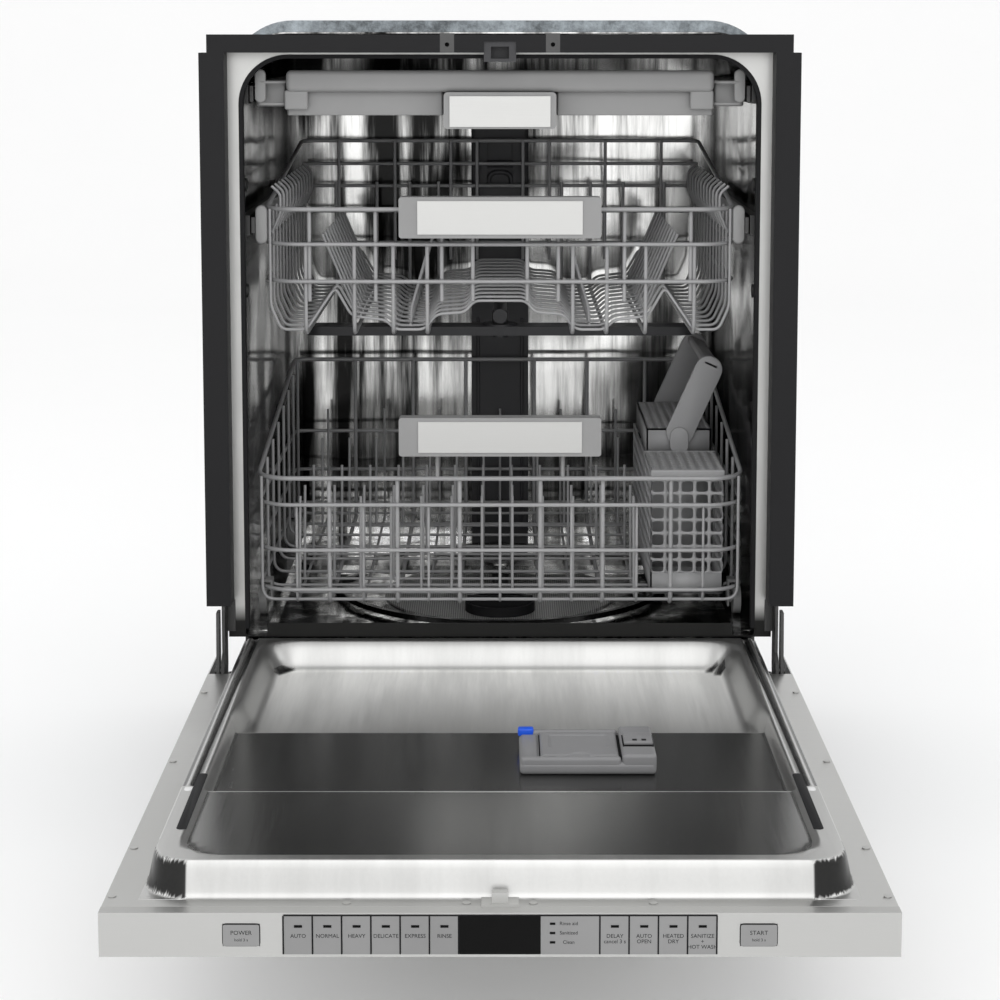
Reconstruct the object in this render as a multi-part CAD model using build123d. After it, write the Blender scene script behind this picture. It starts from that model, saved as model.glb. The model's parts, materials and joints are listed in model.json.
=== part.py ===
from build123d import *
import os

# Built-in dishwasher, drawn with the door open and every rack pushed in.
# X runs across, Y runs from the open door (-) to the back (+), Z is up, in millimetres.
# Depths are measured from the front plane of the cabinet, then moved by FRONT_Y.

# Overall sizes
WIDTH = 598.0             # across the two black side trims
HEIGHT = 861.0            # floor to the top of the insulation blanket
DEPTH = 570.0             # front plane to the back of the base
COUNTER_GAP = 15.0        # top of the closed door to the top of the blanket

# Tub and cabinet front
HINGE_Z = 201.0           # height of the door's hinge axis
TUB_SIDE_GAP = 34.0       # from the outside of the trims to the tub's inner wall
TUB_FLOOR_Z = 218.0
TUB_WALL = 1.2
TUB_TOP_GAP = 13.0        # tub ceiling to the top of the blanket
TUB_BACK_GAP = 25.0       # tub's inner back wall to the back of the base
TUB_CORNER = 50.0         # large rounding of the tub's upper corners
FRAME_FRONT = 29.0        # depth of the front plate's face
SILL_TOP = 229.8
LIP_TOP = 243.0
LEDGE_TOP = 230.0         # wheel ledge along both sides of the tub floor
LEDGE_WIDTH = 22.0
OPENING_GAP = 2.0         # tub wall to the edge of the front opening
OPENING_DROP = 21.0       # tub ceiling to the top of the front opening
GASKET_WIDTH = 4.0
TRIM_WIDTH = 25.0
TRIM_BOTTOM = 268.0
TOP_TRIM_HEIGHT = 18.0

# Door
DOOR_THICK = 34.0
DOOR_GAP = 1.0            # door's inner flange below the hinge axis
SCREW_HEAD = 0.7          # lies in the gap between the shut door and the trims
DOOR_TAIL = 60.0          # door below the hinge axis when it is shut
FASCIA_DEPTH = 12.0
SKIN = 1.2
PLATEAU_RISE = 27.0       # raised inner liner above the hinge axis
PLATEAU_TAIL = 26.0
PLATEAU_GAP = 3.0         # raised liner to the side trims
KEY_PITCH = 21.7
KEY_HEIGHT = 29.6
DISPLAY_WIDTH = 60.3
BUTTON_WIDTH = 27.0
BUTTON_HEIGHT = 16.4
ARM_THICK = 3.0
PIN_R = 4.0
PIN_FIT = 0.05

# Racks
WIRE_R = 2.1              # thick rack wire
TINE_R = 1.5              # thin wire and tines
BITE = 0.05               # depth to which two crossing wires are welded
RACK_WALL_GAP = 24.0      # rack rim to the tub wall
WHEEL_R = 16.0
WHEEL_WIDTH = 8.0
WHEEL_CLEAR = 0.6
ROW_PITCH = 32.0          # spacing of the plate tines
BRACKET_PITCH = 105.0     # two counter screws
PANEL_BOLT_X = 450.0      # four bolts for the furniture panel
PANEL_BOLT_Y = 460.0

# Sizes that follow
HALF = WIDTH / 2
TUB = HALF - TUB_SIDE_GAP
TUB_TOP = HEIGHT - TUB_TOP_GAP
TUB_BACK = DEPTH - TUB_BACK_GAP
OPENING = TUB - OPENING_GAP
OPENING_TOP = TUB_TOP - OPENING_DROP
REACH = HEIGHT - COUNTER_GAP - HINGE_Z - 1.0
FRONT_Y = (REACH - DEPTH) / 2
DOOR_TOP = HINGE_Z - DOOR_GAP
DOOR_LOW = HINGE_Z + DOOR_GAP - DOOR_THICK - 2.0
PLATEAU = HALF - TRIM_WIDTH - PLATEAU_GAP
PLATEAU_TOP = HINGE_Z + PLATEAU_RISE
BACK_Y = TUB_BACK - 38.0  # depth of the racks' rear wires
MID_Y = (FRAME_FRONT + TUB_BACK) / 2

# Cabinet, base and hinges
LATCH_HALF = 16.0
LATCH_Z = OPENING_TOP - 1.0
BASE_TOP = TUB_FLOOR_Z - TUB_WALL
BASE_HALF = TUB - 15.0
BASE_FRONT = 76.0
FOOT_X = TUB - 45.0
FOOT_FRONT = 120.0
FOOT_BACK = DEPTH - 60.0
BRACKET_X = HALF - 18.0
ARM_X = HALF - 13.0
SPRING_Y = DOOR_TAIL + 20.0
INLET_X = -170.0
INLET_Z = 70.0
DRAIN_X = 180.0
DRAIN_Z = 70.0
FOOT_R = 18.0
STEM_R = 6.0
STEM_TOP = 85.0
BOSS_R = 12.0
SPRING_R = 6.5
SPRING_HOLLOW = 4.5
SPRING_LOW = 60.0
SPRING_TOP = 176.0
SCREW_R = 2.2            # counter screw hole
TAB_HALF = 7.0

# Washing system
SUMP_Y = 177.0
SUMP_R = 60.0
ARM_Y = MID_Y
POST_R = 9.0
FILTER_R = 130.0
CUP_R = 38.0
DUCT_HALF = 35.0
SUMP_LOW = 120.0
PIPE_R = 8.0
PIPE_Z = 150.0           # feed pipe under the floor
PUMP_Z = 110.0
MOTOR_R = 45.0
HEAD_R = 34.0
DRAIN_PUMP_R = 28.0
SPIGOT_R = 10.0
HEATER_R = 188.0
HEATER_THICK = 6.0
LOWER_ARM_WIDTH = 44.0
MID_ARM_WIDTH = 38.0
TOP_ARM_WIDTH = 30.0
TOP_ARM_LENGTH = 190.0
SPINDLE_R = 4.0

# Rack positions
RACK = TUB - RACK_WALL_GAP
RACK_FRONT = FRAME_FRONT + 29.0
LOWER_FLOOR = TUB_FLOOR_Z + 41.0
LOWER_RIM = TUB_FLOOR_Z + 171.0
LOWER_BACK_RIM = TUB_FLOOR_Z + 232.0
WHEEL_Z = LEDGE_TOP + WHEEL_CLEAR + WHEEL_R
STEP = 2 * WIRE_R - BITE
TINE_STEP = WIRE_R + TINE_R - BITE
UPPER_FLOOR = TUB_TOP - 276.0
UPPER_RIM = TUB_TOP - 179.0
TUBE_Z = UPPER_FLOOR - 15.0
RAIL_Z = UPPER_RIM - 16.0
TRAY_Z = TUB_TOP - 61.0
RAIL_BACK = TUB_BACK - 10.0
LOWER_HALF = RACK + 12.0
CHAMFER = 22.0
FLOOR_ROWS = 4
HANDLE_DEPTH = 18.0
HANDLE_FRONT = RACK_FRONT - WIRE_R - HANDLE_DEPTH
LOWER_HANDLE_Z = LOWER_RIM + 27.0
WHEEL_FRONT_Y = 120.0
WHEEL_BACK_Y = BACK_Y - 60.0
TINE_X0 = -RACK + 24.0
UPPER_HALF = RACK
UPPER_HANDLE_Z = UPPER_RIM - 28.0
CARRIER_X = UPPER_HALF + WIRE_R
TINE_HEIGHT = 100.0
TINE_LEAN = 14.0
FOLD_HEIGHT = 104.0
FOLD_LEAN = 12.0
SIDE_TINE_X = 150.0       # folding rows of the upper rack
MIDDLE_TINE_X = 93.0
WELL = 28.0             # drop of the upper rack's low floor
AXLE_R = 3.95
AXLE_BORE = 4.0

# Silverware basket
BASKET_X0 = RACK - 83.0
BASKET_X1 = RACK - 6.0
BASKET_FRONT = 78.0
BASKET_BACK = 395.0
FOLD_Y = BACK_Y - 110.0
FOLD_Z = LOWER_FLOOR + TINE_STEP + 3
BARREL_R = 1.2            # rolled edge that a small lid turns about
BASKET_TOP = LOWER_FLOOR + WIRE_R + 129
BAIL_Z = BASKET_TOP + 22.0
BAIL_X = (BASKET_X0 + BASKET_X1) / 2
BAIL_LEAN = 24.0
BASKET_WALL = 2.5
BASKET_TALL = 128.0
BAIL_LEG = 92.0

# Door face and dispenser
PAN_FRONT = -REACH + 32.0      # near wall of the shallow zone
ZONE_B = -REACH * 0.36         # edge between the deep and the middle zone
ZONE_C = -REACH * 0.685        # edge between the middle and the shallow zone
SLOT_X0 = BRACKET_X - 3.0
SLOT_X1 = ARM_X + ARM_THICK + 4.0
KEY_Y = -REACH - 0.6
KEY_Z = (DOOR_LOW + DOOR_TOP) / 2
BUTTON_X = 192.0
DISP_X0 = 17.0
DISP_X1 = 135.0
DISP_Y0 = ZONE_B - 136.0
DISP_Y1 = ZONE_B - 51.0
DISP_Z = PLATEAU_TOP - 15.0
LID_X1 = DISP_X0 + 86.0
CAP_Y = ZONE_B - 96.0
PLATEAU_CORNER = 24.0
DEEP = 28.0             # drop of the zone next to the tub
MIDDLE = 15.0
SHALLOW = 3.0
BOLT_R = 2.5             # furniture panel bolts
HEAD_SCREW_R = 3.2

os.makedirs("parts", exist_ok=True)


def block(x0, x1, y0, y1, z0, z1):
    """Box between two corners."""
    return Pos((x0 + x1) / 2, (y0 + y1) / 2, (z0 + z1) / 2) * Box(x1 - x0, y1 - y0, z1 - z0)


def rod(start, end, radius):
    """Straight round bar between two points."""
    start = Vector(*start)
    run = Vector(*end) - start
    return extrude(Plane(origin=start, z_dir=run) * Circle(radius), run.length)


def disc(x, y, z0, z1, radius):
    """Upright cylinder between two heights."""
    return Pos(x, y, (z0 + z1) / 2) * Cylinder(radius, z1 - z0)


def ring(x, y, z0, z1, outer, inner):
    """Upright tube between two heights."""
    return disc(x, y, z0, z1, outer) - disc(x, y, z0 - 1, z1 + 1, inner)


def flip(shape):
    """The same shape on the other side of the machine."""
    return mirror(shape, about=Plane.YZ)


def pair(shape):
    """A left and a right copy."""
    return [shape, flip(shape)]


def slab(points, plane_x, thick):
    """Plate of the given side outline, from plane_x towards +X."""
    outline = Plane.YZ.offset(plane_x) * make_face(Polyline(*points, close=True))
    return extrude(outline, thick)


def rounded_tube(half, z0, z1, radius, low_radius, y0, y1):
    """Bar along Y whose section has large upper and small lower corners."""
    bar = block(-half, half, y0, y1, z0, z1)
    edges = bar.edges().filter_by(Axis.Y).sort_by(Axis.Z)
    bar = fillet(edges[:2], low_radius)
    edges = [e for e in bar.edges().filter_by(Axis.Y) if e.center().Z > z1 - 1]
    corners = [e for e in edges if abs(abs(e.center().X) - half) < 0.1]
    return fillet(corners, radius)


def save(name, solids):
    """Move a node's solids to the floor frame and write them."""
    placed = [Pos(0, FRONT_Y, 0) * s for s in solids]
    shape = placed[0] if len(placed) == 1 else Compound(children=placed)
    export_step(shape, "parts/" + name + ".step")


# ---------------------------------------------------------------- cabinet


def tub():
    """Stainless box open at the front, with ledges for the lower wheels."""
    start = FRAME_FRONT + 21.0
    outer = rounded_tube(TUB + TUB_WALL, TUB_FLOOR_Z - TUB_WALL, TUB_TOP + TUB_WALL,
                         TUB_CORNER + TUB_WALL, 12.0, FRAME_FRONT + TUB_WALL, TUB_BACK + TUB_WALL)
    inner = rounded_tube(TUB, TUB_FLOOR_Z, TUB_TOP, TUB_CORNER, 11.0, 0, TUB_BACK)
    shell = outer - inner
    shell -= block(-HALF, HALF, 0, start, 0, SILL_TOP - TUB_WALL)
    riser = block(-TUB, TUB, start, start + TUB_WALL, TUB_FLOOR_Z - TUB_WALL, SILL_TOP)
    sill = block(-TUB, TUB, FRAME_FRONT + TUB_WALL, start + TUB_WALL, SILL_TOP - TUB_WALL, SILL_TOP)
    shell = shell + riser + sill
    for side in (-1, 1):
        x = side * (TUB - LEDGE_WIDTH / 2)
        height = LEDGE_TOP - TUB_FLOOR_Z
        ledge = Box(LEDGE_WIDTH + 0.4, TUB_BACK - start, height)
        shell += Pos(x + side * 0.2, (TUB_BACK + start) / 2, TUB_FLOOR_Z + height / 2) * ledge
    shell -= disc(0, SUMP_Y, TUB_FLOOR_Z - 20, TUB_FLOOR_Z + 1, SUMP_R)
    shell -= disc(0, TUB_BACK - 15, TUB_FLOOR_Z - 20, TUB_FLOOR_Z + 1, 10.0)
    return [shell]


def front_frame():
    """Flat steel plate round the opening, with a raised lip in the middle of the sill."""
    half = TUB + 15.0
    top = TUB_TOP - 1.0
    plate = block(-half, half, FRAME_FRONT, FRAME_FRONT + TUB_WALL, SILL_TOP - TUB_WALL, top)
    hole = rounded_tube(OPENING, SILL_TOP, OPENING_TOP, 50.0, 4.0, FRAME_FRONT - 5, FRAME_FRONT + 9)
    lip_half = TUB - LEDGE_WIDTH - 3.0
    lip = block(-lip_half, lip_half, FRAME_FRONT, FRAME_FRONT + TUB_WALL, SILL_TOP - 1, LIP_TOP)
    return [plate - hole + lip]


def tub_gasket():
    """Rubber seal up both sides and over the top of the opening."""
    y0 = FRAME_FRONT - 1.4
    y1 = FRAME_FRONT + 12.0
    outer = rounded_tube(OPENING, SILL_TOP + 2, OPENING_TOP, 50.0, 4.0, y0, y1)
    inner = rounded_tube(OPENING - GASKET_WIDTH, SILL_TOP, OPENING_TOP - GASKET_WIDTH,
                         50.0 - GASKET_WIDTH, 4.0, y0 - 1, y1 + 1)
    return [outer - inner - block(-HALF, HALF, 0, 99, 0, SILL_TOP + 8)]


def trims():
    """Two tall side trims and the top trim, with pockets for the latch and brackets."""
    side_top = OPENING_TOP + 2.0
    left = block(-HALF, -HALF + TRIM_WIDTH, 0, FRAME_FRONT, TRIM_BOTTOM, side_top)
    right = flip(left)
    half = HALF - 8.0
    top = block(-half, half, 0, FRAME_FRONT, side_top, side_top + TOP_TRIM_HEIGHT)
    top -= block(-LATCH_HALF, LATCH_HALF, -1, 99, 0, LATCH_Z + 14)
    for side in (-1, 1):
        x = side * BRACKET_PITCH / 2
        top -= block(x - TAB_HALF, x + TAB_HALF, -1, 1.2, side_top - 1, side_top + 99)
        top -= rod((x, -1, side_top + 8), (x, 9, side_top + 8), SCREW_R)
    return [left, right, top]


def counter_brackets():
    """Screw tabs on the top trim that fasten the machine under the counter."""
    z = OPENING_TOP + 2.0
    top = z + TOP_TRIM_HEIGHT
    tabs = []
    for side in (-1, 1):
        x = side * BRACKET_PITCH / 2
        tab = block(x - TAB_HALF, x + TAB_HALF, 0, 1.2, z, top + 1.2) + block(x - TAB_HALF, x + TAB_HALF, 0, 30, top, top + 1.2)
        tabs.append(tab - rod((x, -1, z + 8), (x, 3, z + 8), SCREW_R))
    return tabs


def latch_housing():
    """Catch in the middle of the top trim, open towards the door."""
    body = block(-LATCH_HALF, LATCH_HALF, 2, FRAME_FRONT - 2, LATCH_Z - 6, LATCH_Z + 14)
    return [body - block(-9, 9, 0, 16, LATCH_Z - 3, LATCH_Z + 9)]


def insulation_blanket():
    """Sound blanket over the sides and top of the tub."""
    y0 = FRAME_FRONT + 6.0
    y1 = TUB_BACK + 12.0
    outer = rounded_tube(TUB + 10, TUB_FLOOR_Z + 20, HEIGHT, 67.0, 2.0, y0, y1)
    inner = rounded_tube(TUB + TUB_WALL + 0.3, 0, TUB_TOP + TUB_WALL + 0.3,
                         TUB_CORNER + TUB_WALL + 0.3, 2.0, y0 - 1, TUB_BACK + TUB_WALL + 0.3)
    return [outer - inner]


def base_pan():
    """Moulded tray under the tub that holds the pumps, with blind bores for the feet."""
    pan = block(-BASE_HALF, BASE_HALF, BASE_FRONT, DEPTH, 12, BASE_TOP)
    pan -= block(-BASE_HALF + 3, BASE_HALF - 3, BASE_FRONT + 3, DEPTH - 3, 15, BASE_TOP + 1)
    for x in (-FOOT_X, FOOT_X):
        for y in (FOOT_FRONT, FOOT_BACK):
            pan += disc(x, y, 14, STEM_TOP + 15, BOSS_R)
            pan -= disc(x, y, 0, STEM_TOP + 10, STEM_R + 0.1)
    for x, z in ((INLET_X, INLET_Z), (DRAIN_X, DRAIN_Z)):
        pan -= rod((x, DEPTH - 9, z), (x, DEPTH + 9, z), 14.0)
    return [pan]


def kick_plate():
    """Plinth panel below the door, with two side returns back to the base."""
    plate = block(-BASE_HALF, BASE_HALF, 50, 52, 8, 118)
    for side in (-1, 1):
        x = side * (BASE_HALF - 4)
        plate += block(x - 1.5, x + 1.5, 51, BASE_FRONT, 20, 110)
    return [plate]


def levelling_feet():
    """Four feet with threaded stems, turned together from the front."""
    legs = []
    for x in (-FOOT_X, FOOT_X):
        for y in (FOOT_FRONT, FOOT_BACK):
            legs.append(disc(x, y, 0, 10, FOOT_R) + disc(x, y, 9, STEM_TOP, STEM_R))
    return legs


def hinge_brackets():
    """Fixed hinge plates with their pins."""
    outline = [(-9, HINGE_Z - 12), (26, HINGE_Z - 12), (FRAME_FRONT, HINGE_Z),
               (FRAME_FRONT, TRIM_BOTTOM), (2, TRIM_BOTTOM), (2, HINGE_Z + 18), (-9, HINGE_Z + 9)]
    plate = slab(outline, BRACKET_X, 3)
    flange = block(PLATEAU + 2, BRACKET_X + 1, FRAME_FRONT - 1.5, FRAME_FRONT,
                   HINGE_Z + 34, TRIM_BOTTOM)
    pin = rod((BRACKET_X + 1, 0, HINGE_Z), (ARM_X + ARM_THICK + 2, 0, HINGE_Z), PIN_R)
    return pair(plate + flange + pin)


def hinge_arms():
    """Arms that hang the door on the pins, with a tail for the spring."""
    outline = [(-150, DOOR_TOP - 26), (10, DOOR_TOP - 14), (10, HINGE_Z + 61),
               (-4, HINGE_Z + 61), (-8, DOOR_TOP - 4), (-150, DOOR_TOP - 4)]
    arm = slab(outline, ARM_X, ARM_THICK)
    arm -= rod((ARM_X - 1, 0, HINGE_Z), (ARM_X + 9, 0, HINGE_Z), PIN_R + PIN_FIT)
    lug = block(ARM_X - 6, ARM_X + ARM_THICK, -150, -90, DOOR_LOW + SKIN, DOOR_TOP - 24)
    return pair(arm + lug)


def door_springs():
    """Closed tubes that stand for the two coil springs balancing the door."""
    spring = ring(ARM_X - 4, SPRING_Y, SPRING_LOW, SPRING_TOP, SPRING_R, SPRING_HOLLOW)
    return pair(spring)


def sump():
    """Well under the tub floor, with a rim, the spray arm post and the feed pipe."""
    well = ring(0, SUMP_Y, SUMP_LOW, TUB_FLOOR_Z, SUMP_R - 0.1, SUMP_R - 3)
    well += disc(0, SUMP_Y, SUMP_LOW, SUMP_LOW + 3, SUMP_R - 0.1)
    pipe = rod((0, SUMP_Y + SUMP_R - 2, PIPE_Z), (0, TUB_BACK - 8, PIPE_Z), PIPE_R)
    riser = rod((0, TUB_BACK - 15, PIPE_Z - 5), (0, TUB_BACK - 15, TUB_FLOOR_Z - 4), PIPE_R)
    return [well + pipe + riser]


def circulation_pump():
    """Motor with its pump head, fixed to the sump."""
    y = SUMP_Y + 20
    motor = rod((SUMP_R + 46, y, PUMP_Z), (SUMP_R + 150, y, PUMP_Z), MOTOR_R)
    head = rod((SUMP_R + 14, y, PUMP_Z), (SUMP_R + 46, y, PUMP_Z), HEAD_R)
    return [motor + head + block(SUMP_R + 60, SUMP_R + 120, y - 30, y + 30, 15, 90)]


def drain_pump():
    """Small drain pump with the hose tail at the back."""
    y = DEPTH - 90
    body = rod((DRAIN_X, y, DRAIN_Z), (DRAIN_X, y + 60, DRAIN_Z), DRAIN_PUMP_R)
    tail = rod((DRAIN_X, y + 55, DRAIN_Z), (DRAIN_X, DEPTH - 1, DRAIN_Z), SPIGOT_R)
    return [body + tail + block(DRAIN_X - 14, DRAIN_X + 14, y + 5, y + 45, 15, DRAIN_Z)]


def inlet_valve():
    """Water valve with a threaded spigot at the back."""
    body = block(INLET_X - 22, INLET_X + 22, DEPTH - 80, DEPTH - 30, 15, INLET_Z + 22)
    return [body + rod((INLET_X, DEPTH - 31, INLET_Z), (INLET_X, DEPTH - 1, INLET_Z), SPIGOT_R)]


def heater():
    """Ring heater on short clips above the tub floor."""
    path = ring(0, ARM_Y, TUB_FLOOR_Z + 3, TUB_FLOOR_Z + 3 + HEATER_THICK, HEATER_R, HEATER_R - HEATER_THICK)
    reach = HEATER_R - HEATER_THICK / 2
    for x, y in ((reach, ARM_Y), (-reach, ARM_Y), (0, ARM_Y + reach)):
        path += disc(x, y, TUB_FLOOR_Z, TUB_FLOOR_Z + 4, 3)
    return [path]


def filter_plate():
    """Fine round filter over the sump, with holes for the cup and the post."""
    y = SUMP_Y + 77
    plate = disc(0, y, TUB_FLOOR_Z, TUB_FLOOR_Z + 2, FILTER_R)
    return [plate - disc(0, SUMP_Y, 200, 230, CUP_R + 0.4) - disc(0, ARM_Y, 200, 230, POST_R)]


def spray_posts():
    """Hollow post of the lower spray arm, and the spindle of the top one."""
    post = ring(0, ARM_Y, TUB_FLOOR_Z, TUB_FLOOR_Z + 32, POST_R, POST_R - 3)
    return [post, disc(0, ARM_Y, TUB_TOP - 26, TUB_TOP, SPINDLE_R)]


def filter_cup():
    """Removable cylinder filter with a grip on top."""
    cup = ring(0, SUMP_Y, 160, TUB_FLOOR_Z + 12, CUP_R, CUP_R - 3)
    cup += disc(0, SUMP_Y, 158, 162, CUP_R)
    return [cup + block(-CUP_R + 2, CUP_R - 2, SUMP_Y - 3, SUMP_Y + 3, TUB_FLOOR_Z + 2, TUB_FLOOR_Z + 17)]


def spray_arm(z, length, width, height, bore):
    """Flat two-ended spray arm with a bored hub."""
    arm = Pos(0, ARM_Y, z) * extrude(SlotOverall(length, width), height)
    arm += disc(0, ARM_Y, z, z + height + 2, bore + 10)
    return arm - disc(0, ARM_Y, z - 9, z + height + 9, bore)


def feed_duct():
    """Duct up the back wall with the two docking ports."""
    top = TUB_TOP - 48
    duct = block(-DUCT_HALF, DUCT_HALF, TUB_BACK - 24, TUB_BACK, TUB_FLOOR_Z, top)
    duct += rod((0, TUB_BACK - 15, TUB_FLOOR_Z - 4), (0, TUB_BACK - 15, TUB_FLOOR_Z + 3), 10)
    duct -= rod((0, TUB_BACK - 40, TUBE_Z), (0, TUB_BACK - 12, TUBE_Z), 9)
    port = block(-30, 30, TUB_BACK - 32, TUB_BACK - 24, top - 150, top - 60)
    return [duct + port - block(-16, 16, TUB_BACK - 60, TUB_BACK - 26, top - 136, top - 76)]


def rack_rim(half, z, front, back, corner):
    """Four straight wires and two chamfers that make a rack's rim."""
    wires = [rod((-half + corner, front, z), (half - corner, front, z), WIRE_R)]
    wires.append(rod((-half, back, z), (half, back, z), WIRE_R))
    for side in (-1, 1):
        end = WIRE_R * side
        wires.append(rod((side * half, front + corner + 1, z), (side * half, back - 2 * WIRE_R, z), WIRE_R))
        start = (side * (half - corner) + end, front + 1, z)
        wires.append(rod(start, (side * half - end, front + corner - 1, z), WIRE_R * 0.9))
    return wires


def floor_rows(count):
    """Depths of evenly spaced cross wires."""
    first = RACK_FRONT + 2 * STEP
    last = BACK_Y - 2 * STEP
    return [first + i * (last - first) / (count - 1) for i in range(count)]


def lower_rack_basket():
    """Lower rack: rims, uprights and the floor grid, as straight welded wires."""
    wires = []
    inset = STEP
    for z in (LOWER_FLOOR + 12, LOWER_FLOOR + 54, LOWER_RIM - 28, LOWER_RIM):
        wires += rack_rim(LOWER_HALF, z, RACK_FRONT, BACK_Y, CHAMFER)
    for x in (-178, -107, -42, 42, 107, 178):
        share = x / 232 * (LOWER_HALF - CHAMFER)
        for y, top in ((RACK_FRONT + inset, LOWER_RIM), (BACK_Y - inset, LOWER_BACK_RIM)):
            wires.append(rod((share, y, LOWER_FLOOR), (share, y, top), WIRE_R))
        wires.append(rod((share, RACK_FRONT + inset, LOWER_FLOOR - STEP),
                         (share, BACK_Y - inset, LOWER_FLOOR - STEP), WIRE_R))
    wires.append(rod((-LOWER_HALF, BACK_Y, LOWER_BACK_RIM), (LOWER_HALF, BACK_Y, LOWER_BACK_RIM), WIRE_R))
    for y in floor_rows(FLOOR_ROWS):
        wires.append(rod((-LOWER_HALF + inset, y, LOWER_FLOOR), (LOWER_HALF - inset, y, LOWER_FLOOR), WIRE_R))
        for side in (-1, 1):
            x = side * (LOWER_HALF - inset)
            wires.append(rod((x, y, LOWER_FLOOR + WIRE_R), (x, y, LOWER_RIM + 2), WIRE_R))
    return wires


def handle(half, z, height, front, depth):
    """Moulded grip bar across a rack's front, hollow behind for the fingers."""
    body = block(-half, half, front, front + depth, z, z + height)
    body = fillet(body.edges().filter_by(Axis.Y), 3.0)
    return [body - block(-half + 12, half - 12, front + 4, front + depth + 1, z - 1, z + height - 5)]


def handle_plate(half, z, height, front):
    """Brushed steel inlay on a handle."""
    return [block(-half, half, front - 1.2, front, z, z + height)]


def lower_rack_handle():
    """Lower grip on two uprights from the rim."""
    parts = handle(104, LOWER_HANDLE_Z, 40, HANDLE_FRONT, HANDLE_DEPTH)
    for x in (-65, 65):
        parts.append(rod((x, RACK_FRONT, LOWER_RIM + WIRE_R), (x, RACK_FRONT, LOWER_HANDLE_Z + 30), WIRE_R))
    return parts


def wheels(y):
    """Left and right wheel, bored for their axles."""
    x = TUB - LEDGE_WIDTH / 2 - 1
    solids = []
    for side in (-1, 1):
        wheel = rod((side * (x - WHEEL_WIDTH / 2), y, WHEEL_Z), (side * (x + WHEEL_WIDTH / 2), y, WHEEL_Z), WHEEL_R)
        wheel -= rod((side * (x - 9), y, WHEEL_Z), (side * (x + 9), y, WHEEL_Z), AXLE_BORE)
        solids.append(wheel)
    return solids


def wheel_carriers():
    """Arms and axles that hold the four lower wheels under the rack."""
    x = TUB - LEDGE_WIDTH / 2 - 1
    solids = []
    for side in (-1, 1):
        for y in (WHEEL_FRONT_Y, WHEEL_BACK_Y):
            inner = x - WHEEL_WIDTH / 2 - 4
            top = LOWER_FLOOR + 12 - WIRE_R
            plate = block(inner - 2, inner, y - 8, y + 8, WHEEL_Z - 7, top)
            plate += block(inner - 2, LOWER_HALF + 2, y - 8, y + 8, top - 3, top)
            axle = rod((inner - 1, y, WHEEL_Z), (x + WHEEL_WIDTH / 2 + 1, y, WHEEL_Z), AXLE_R)
            holder = plate + axle
            solids.append(holder if side > 0 else flip(holder))
    return solids


def tine_row(x0, x1, y, floor, height, lean):
    """Carrier wire with a row of tines standing on it."""
    wires = [rod((x0, y, floor), (x1, y, floor), TINE_R)]
    count = int((x1 - x0) / ROW_PITCH)
    start = (x0 + x1 - count * ROW_PITCH) / 2
    for i in range(count + 1):
        x = start + i * ROW_PITCH
        foot = (x, y - lean / height * TINE_R, floor + TINE_R - BITE)
        wires.append(rod(foot, (x, y + lean, floor + height), TINE_R))
    return wires


def lower_tines():
    """Fixed rows of plate tines in the left and middle of the lower rack."""
    wires = []
    for y in (RACK_FRONT + 24, RACK_FRONT + 84, RACK_FRONT + 200):
        wires += tine_row(TINE_X0, BASKET_X0 - 12, y, LOWER_FLOOR + TINE_STEP, TINE_HEIGHT, TINE_LEAN)
    return wires


def silverware_basket():
    """Open cutlery basket with windowed walls and three compartments."""
    z0 = LOWER_FLOOR + WIRE_R + 1
    front = block(BASKET_X0, BASKET_X1, BASKET_FRONT, BASKET_BACK, z0, z0 + BASKET_TALL)
    step = BASKET_FRONT + 110
    for y0, y1 in ((BASKET_FRONT, step), (step, step + 104), (step + 104, BASKET_BACK)):
        front -= block(BASKET_X0 + BASKET_WALL, BASKET_X1 - BASKET_WALL, y0 + BASKET_WALL, y1 - 1.5, z0 + 3, z0 + 200)
    rows = 5
    for i in range(rows):
        z = z0 + 12 + i * 20
        for k in range(4):
            x = BASKET_X0 + 8 + k * 16
            front -= block(x, x + 12, BASKET_FRONT - 1, BASKET_FRONT + 3, z, z + 16)
    for y, pin in ((BASKET_FRONT + 111, 7), (BASKET_BACK - 1.5, -7)):
        front += block(BAIL_X - 10, BAIL_X + 10, y - 1.5, y + 1.5, BASKET_TOP - 1, BAIL_Z + 8)
        front += rod((BAIL_X, y, BAIL_Z), (BAIL_X, y + pin, BAIL_Z), 3.0)
    return [front]


def basket_lid():
    """Perforated lid over the front compartment, hinged at its back edge."""
    lid = block(BASKET_X0 + 0.5, BASKET_X1 - 0.5, BASKET_FRONT, BASKET_FRONT + 108, BASKET_TOP + 0.5, BASKET_TOP + 3)
    for k in range(5):
        for i in range(7):
            x = BASKET_X0 + 7 + k * 13.5
            y = BASKET_FRONT + 8 + i * 14
            lid -= block(x, x + 9, y, y + 9, BASKET_TOP - 1, BASKET_TOP + 9)
    y = BASKET_FRONT + 108
    z = BASKET_TOP + 3
    return [lid + rod((BASKET_X0 + 0.5, y, z), (BASKET_X1 - 0.5, y, z), BARREL_R)]


def basket_bail():
    """Carrying handle: two flat legs and a grip, leaning to the side."""
    y0 = BASKET_FRONT + 116
    y1 = BASKET_BACK - 6.5
    bail = block(-11, 11, y0 - 2, y1 + 2, -8, BAIL_LEG) - block(-12, 12, y0 + 2, y1 - 2, -9, BAIL_LEG - 12)
    bail -= rod((0, y0 - 9, 0), (0, y1 + 9, 0), 3.3)
    return [Pos(BAIL_X, 0, BAIL_Z) * Rot(0, BAIL_LEAN, 0) * bail]


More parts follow.
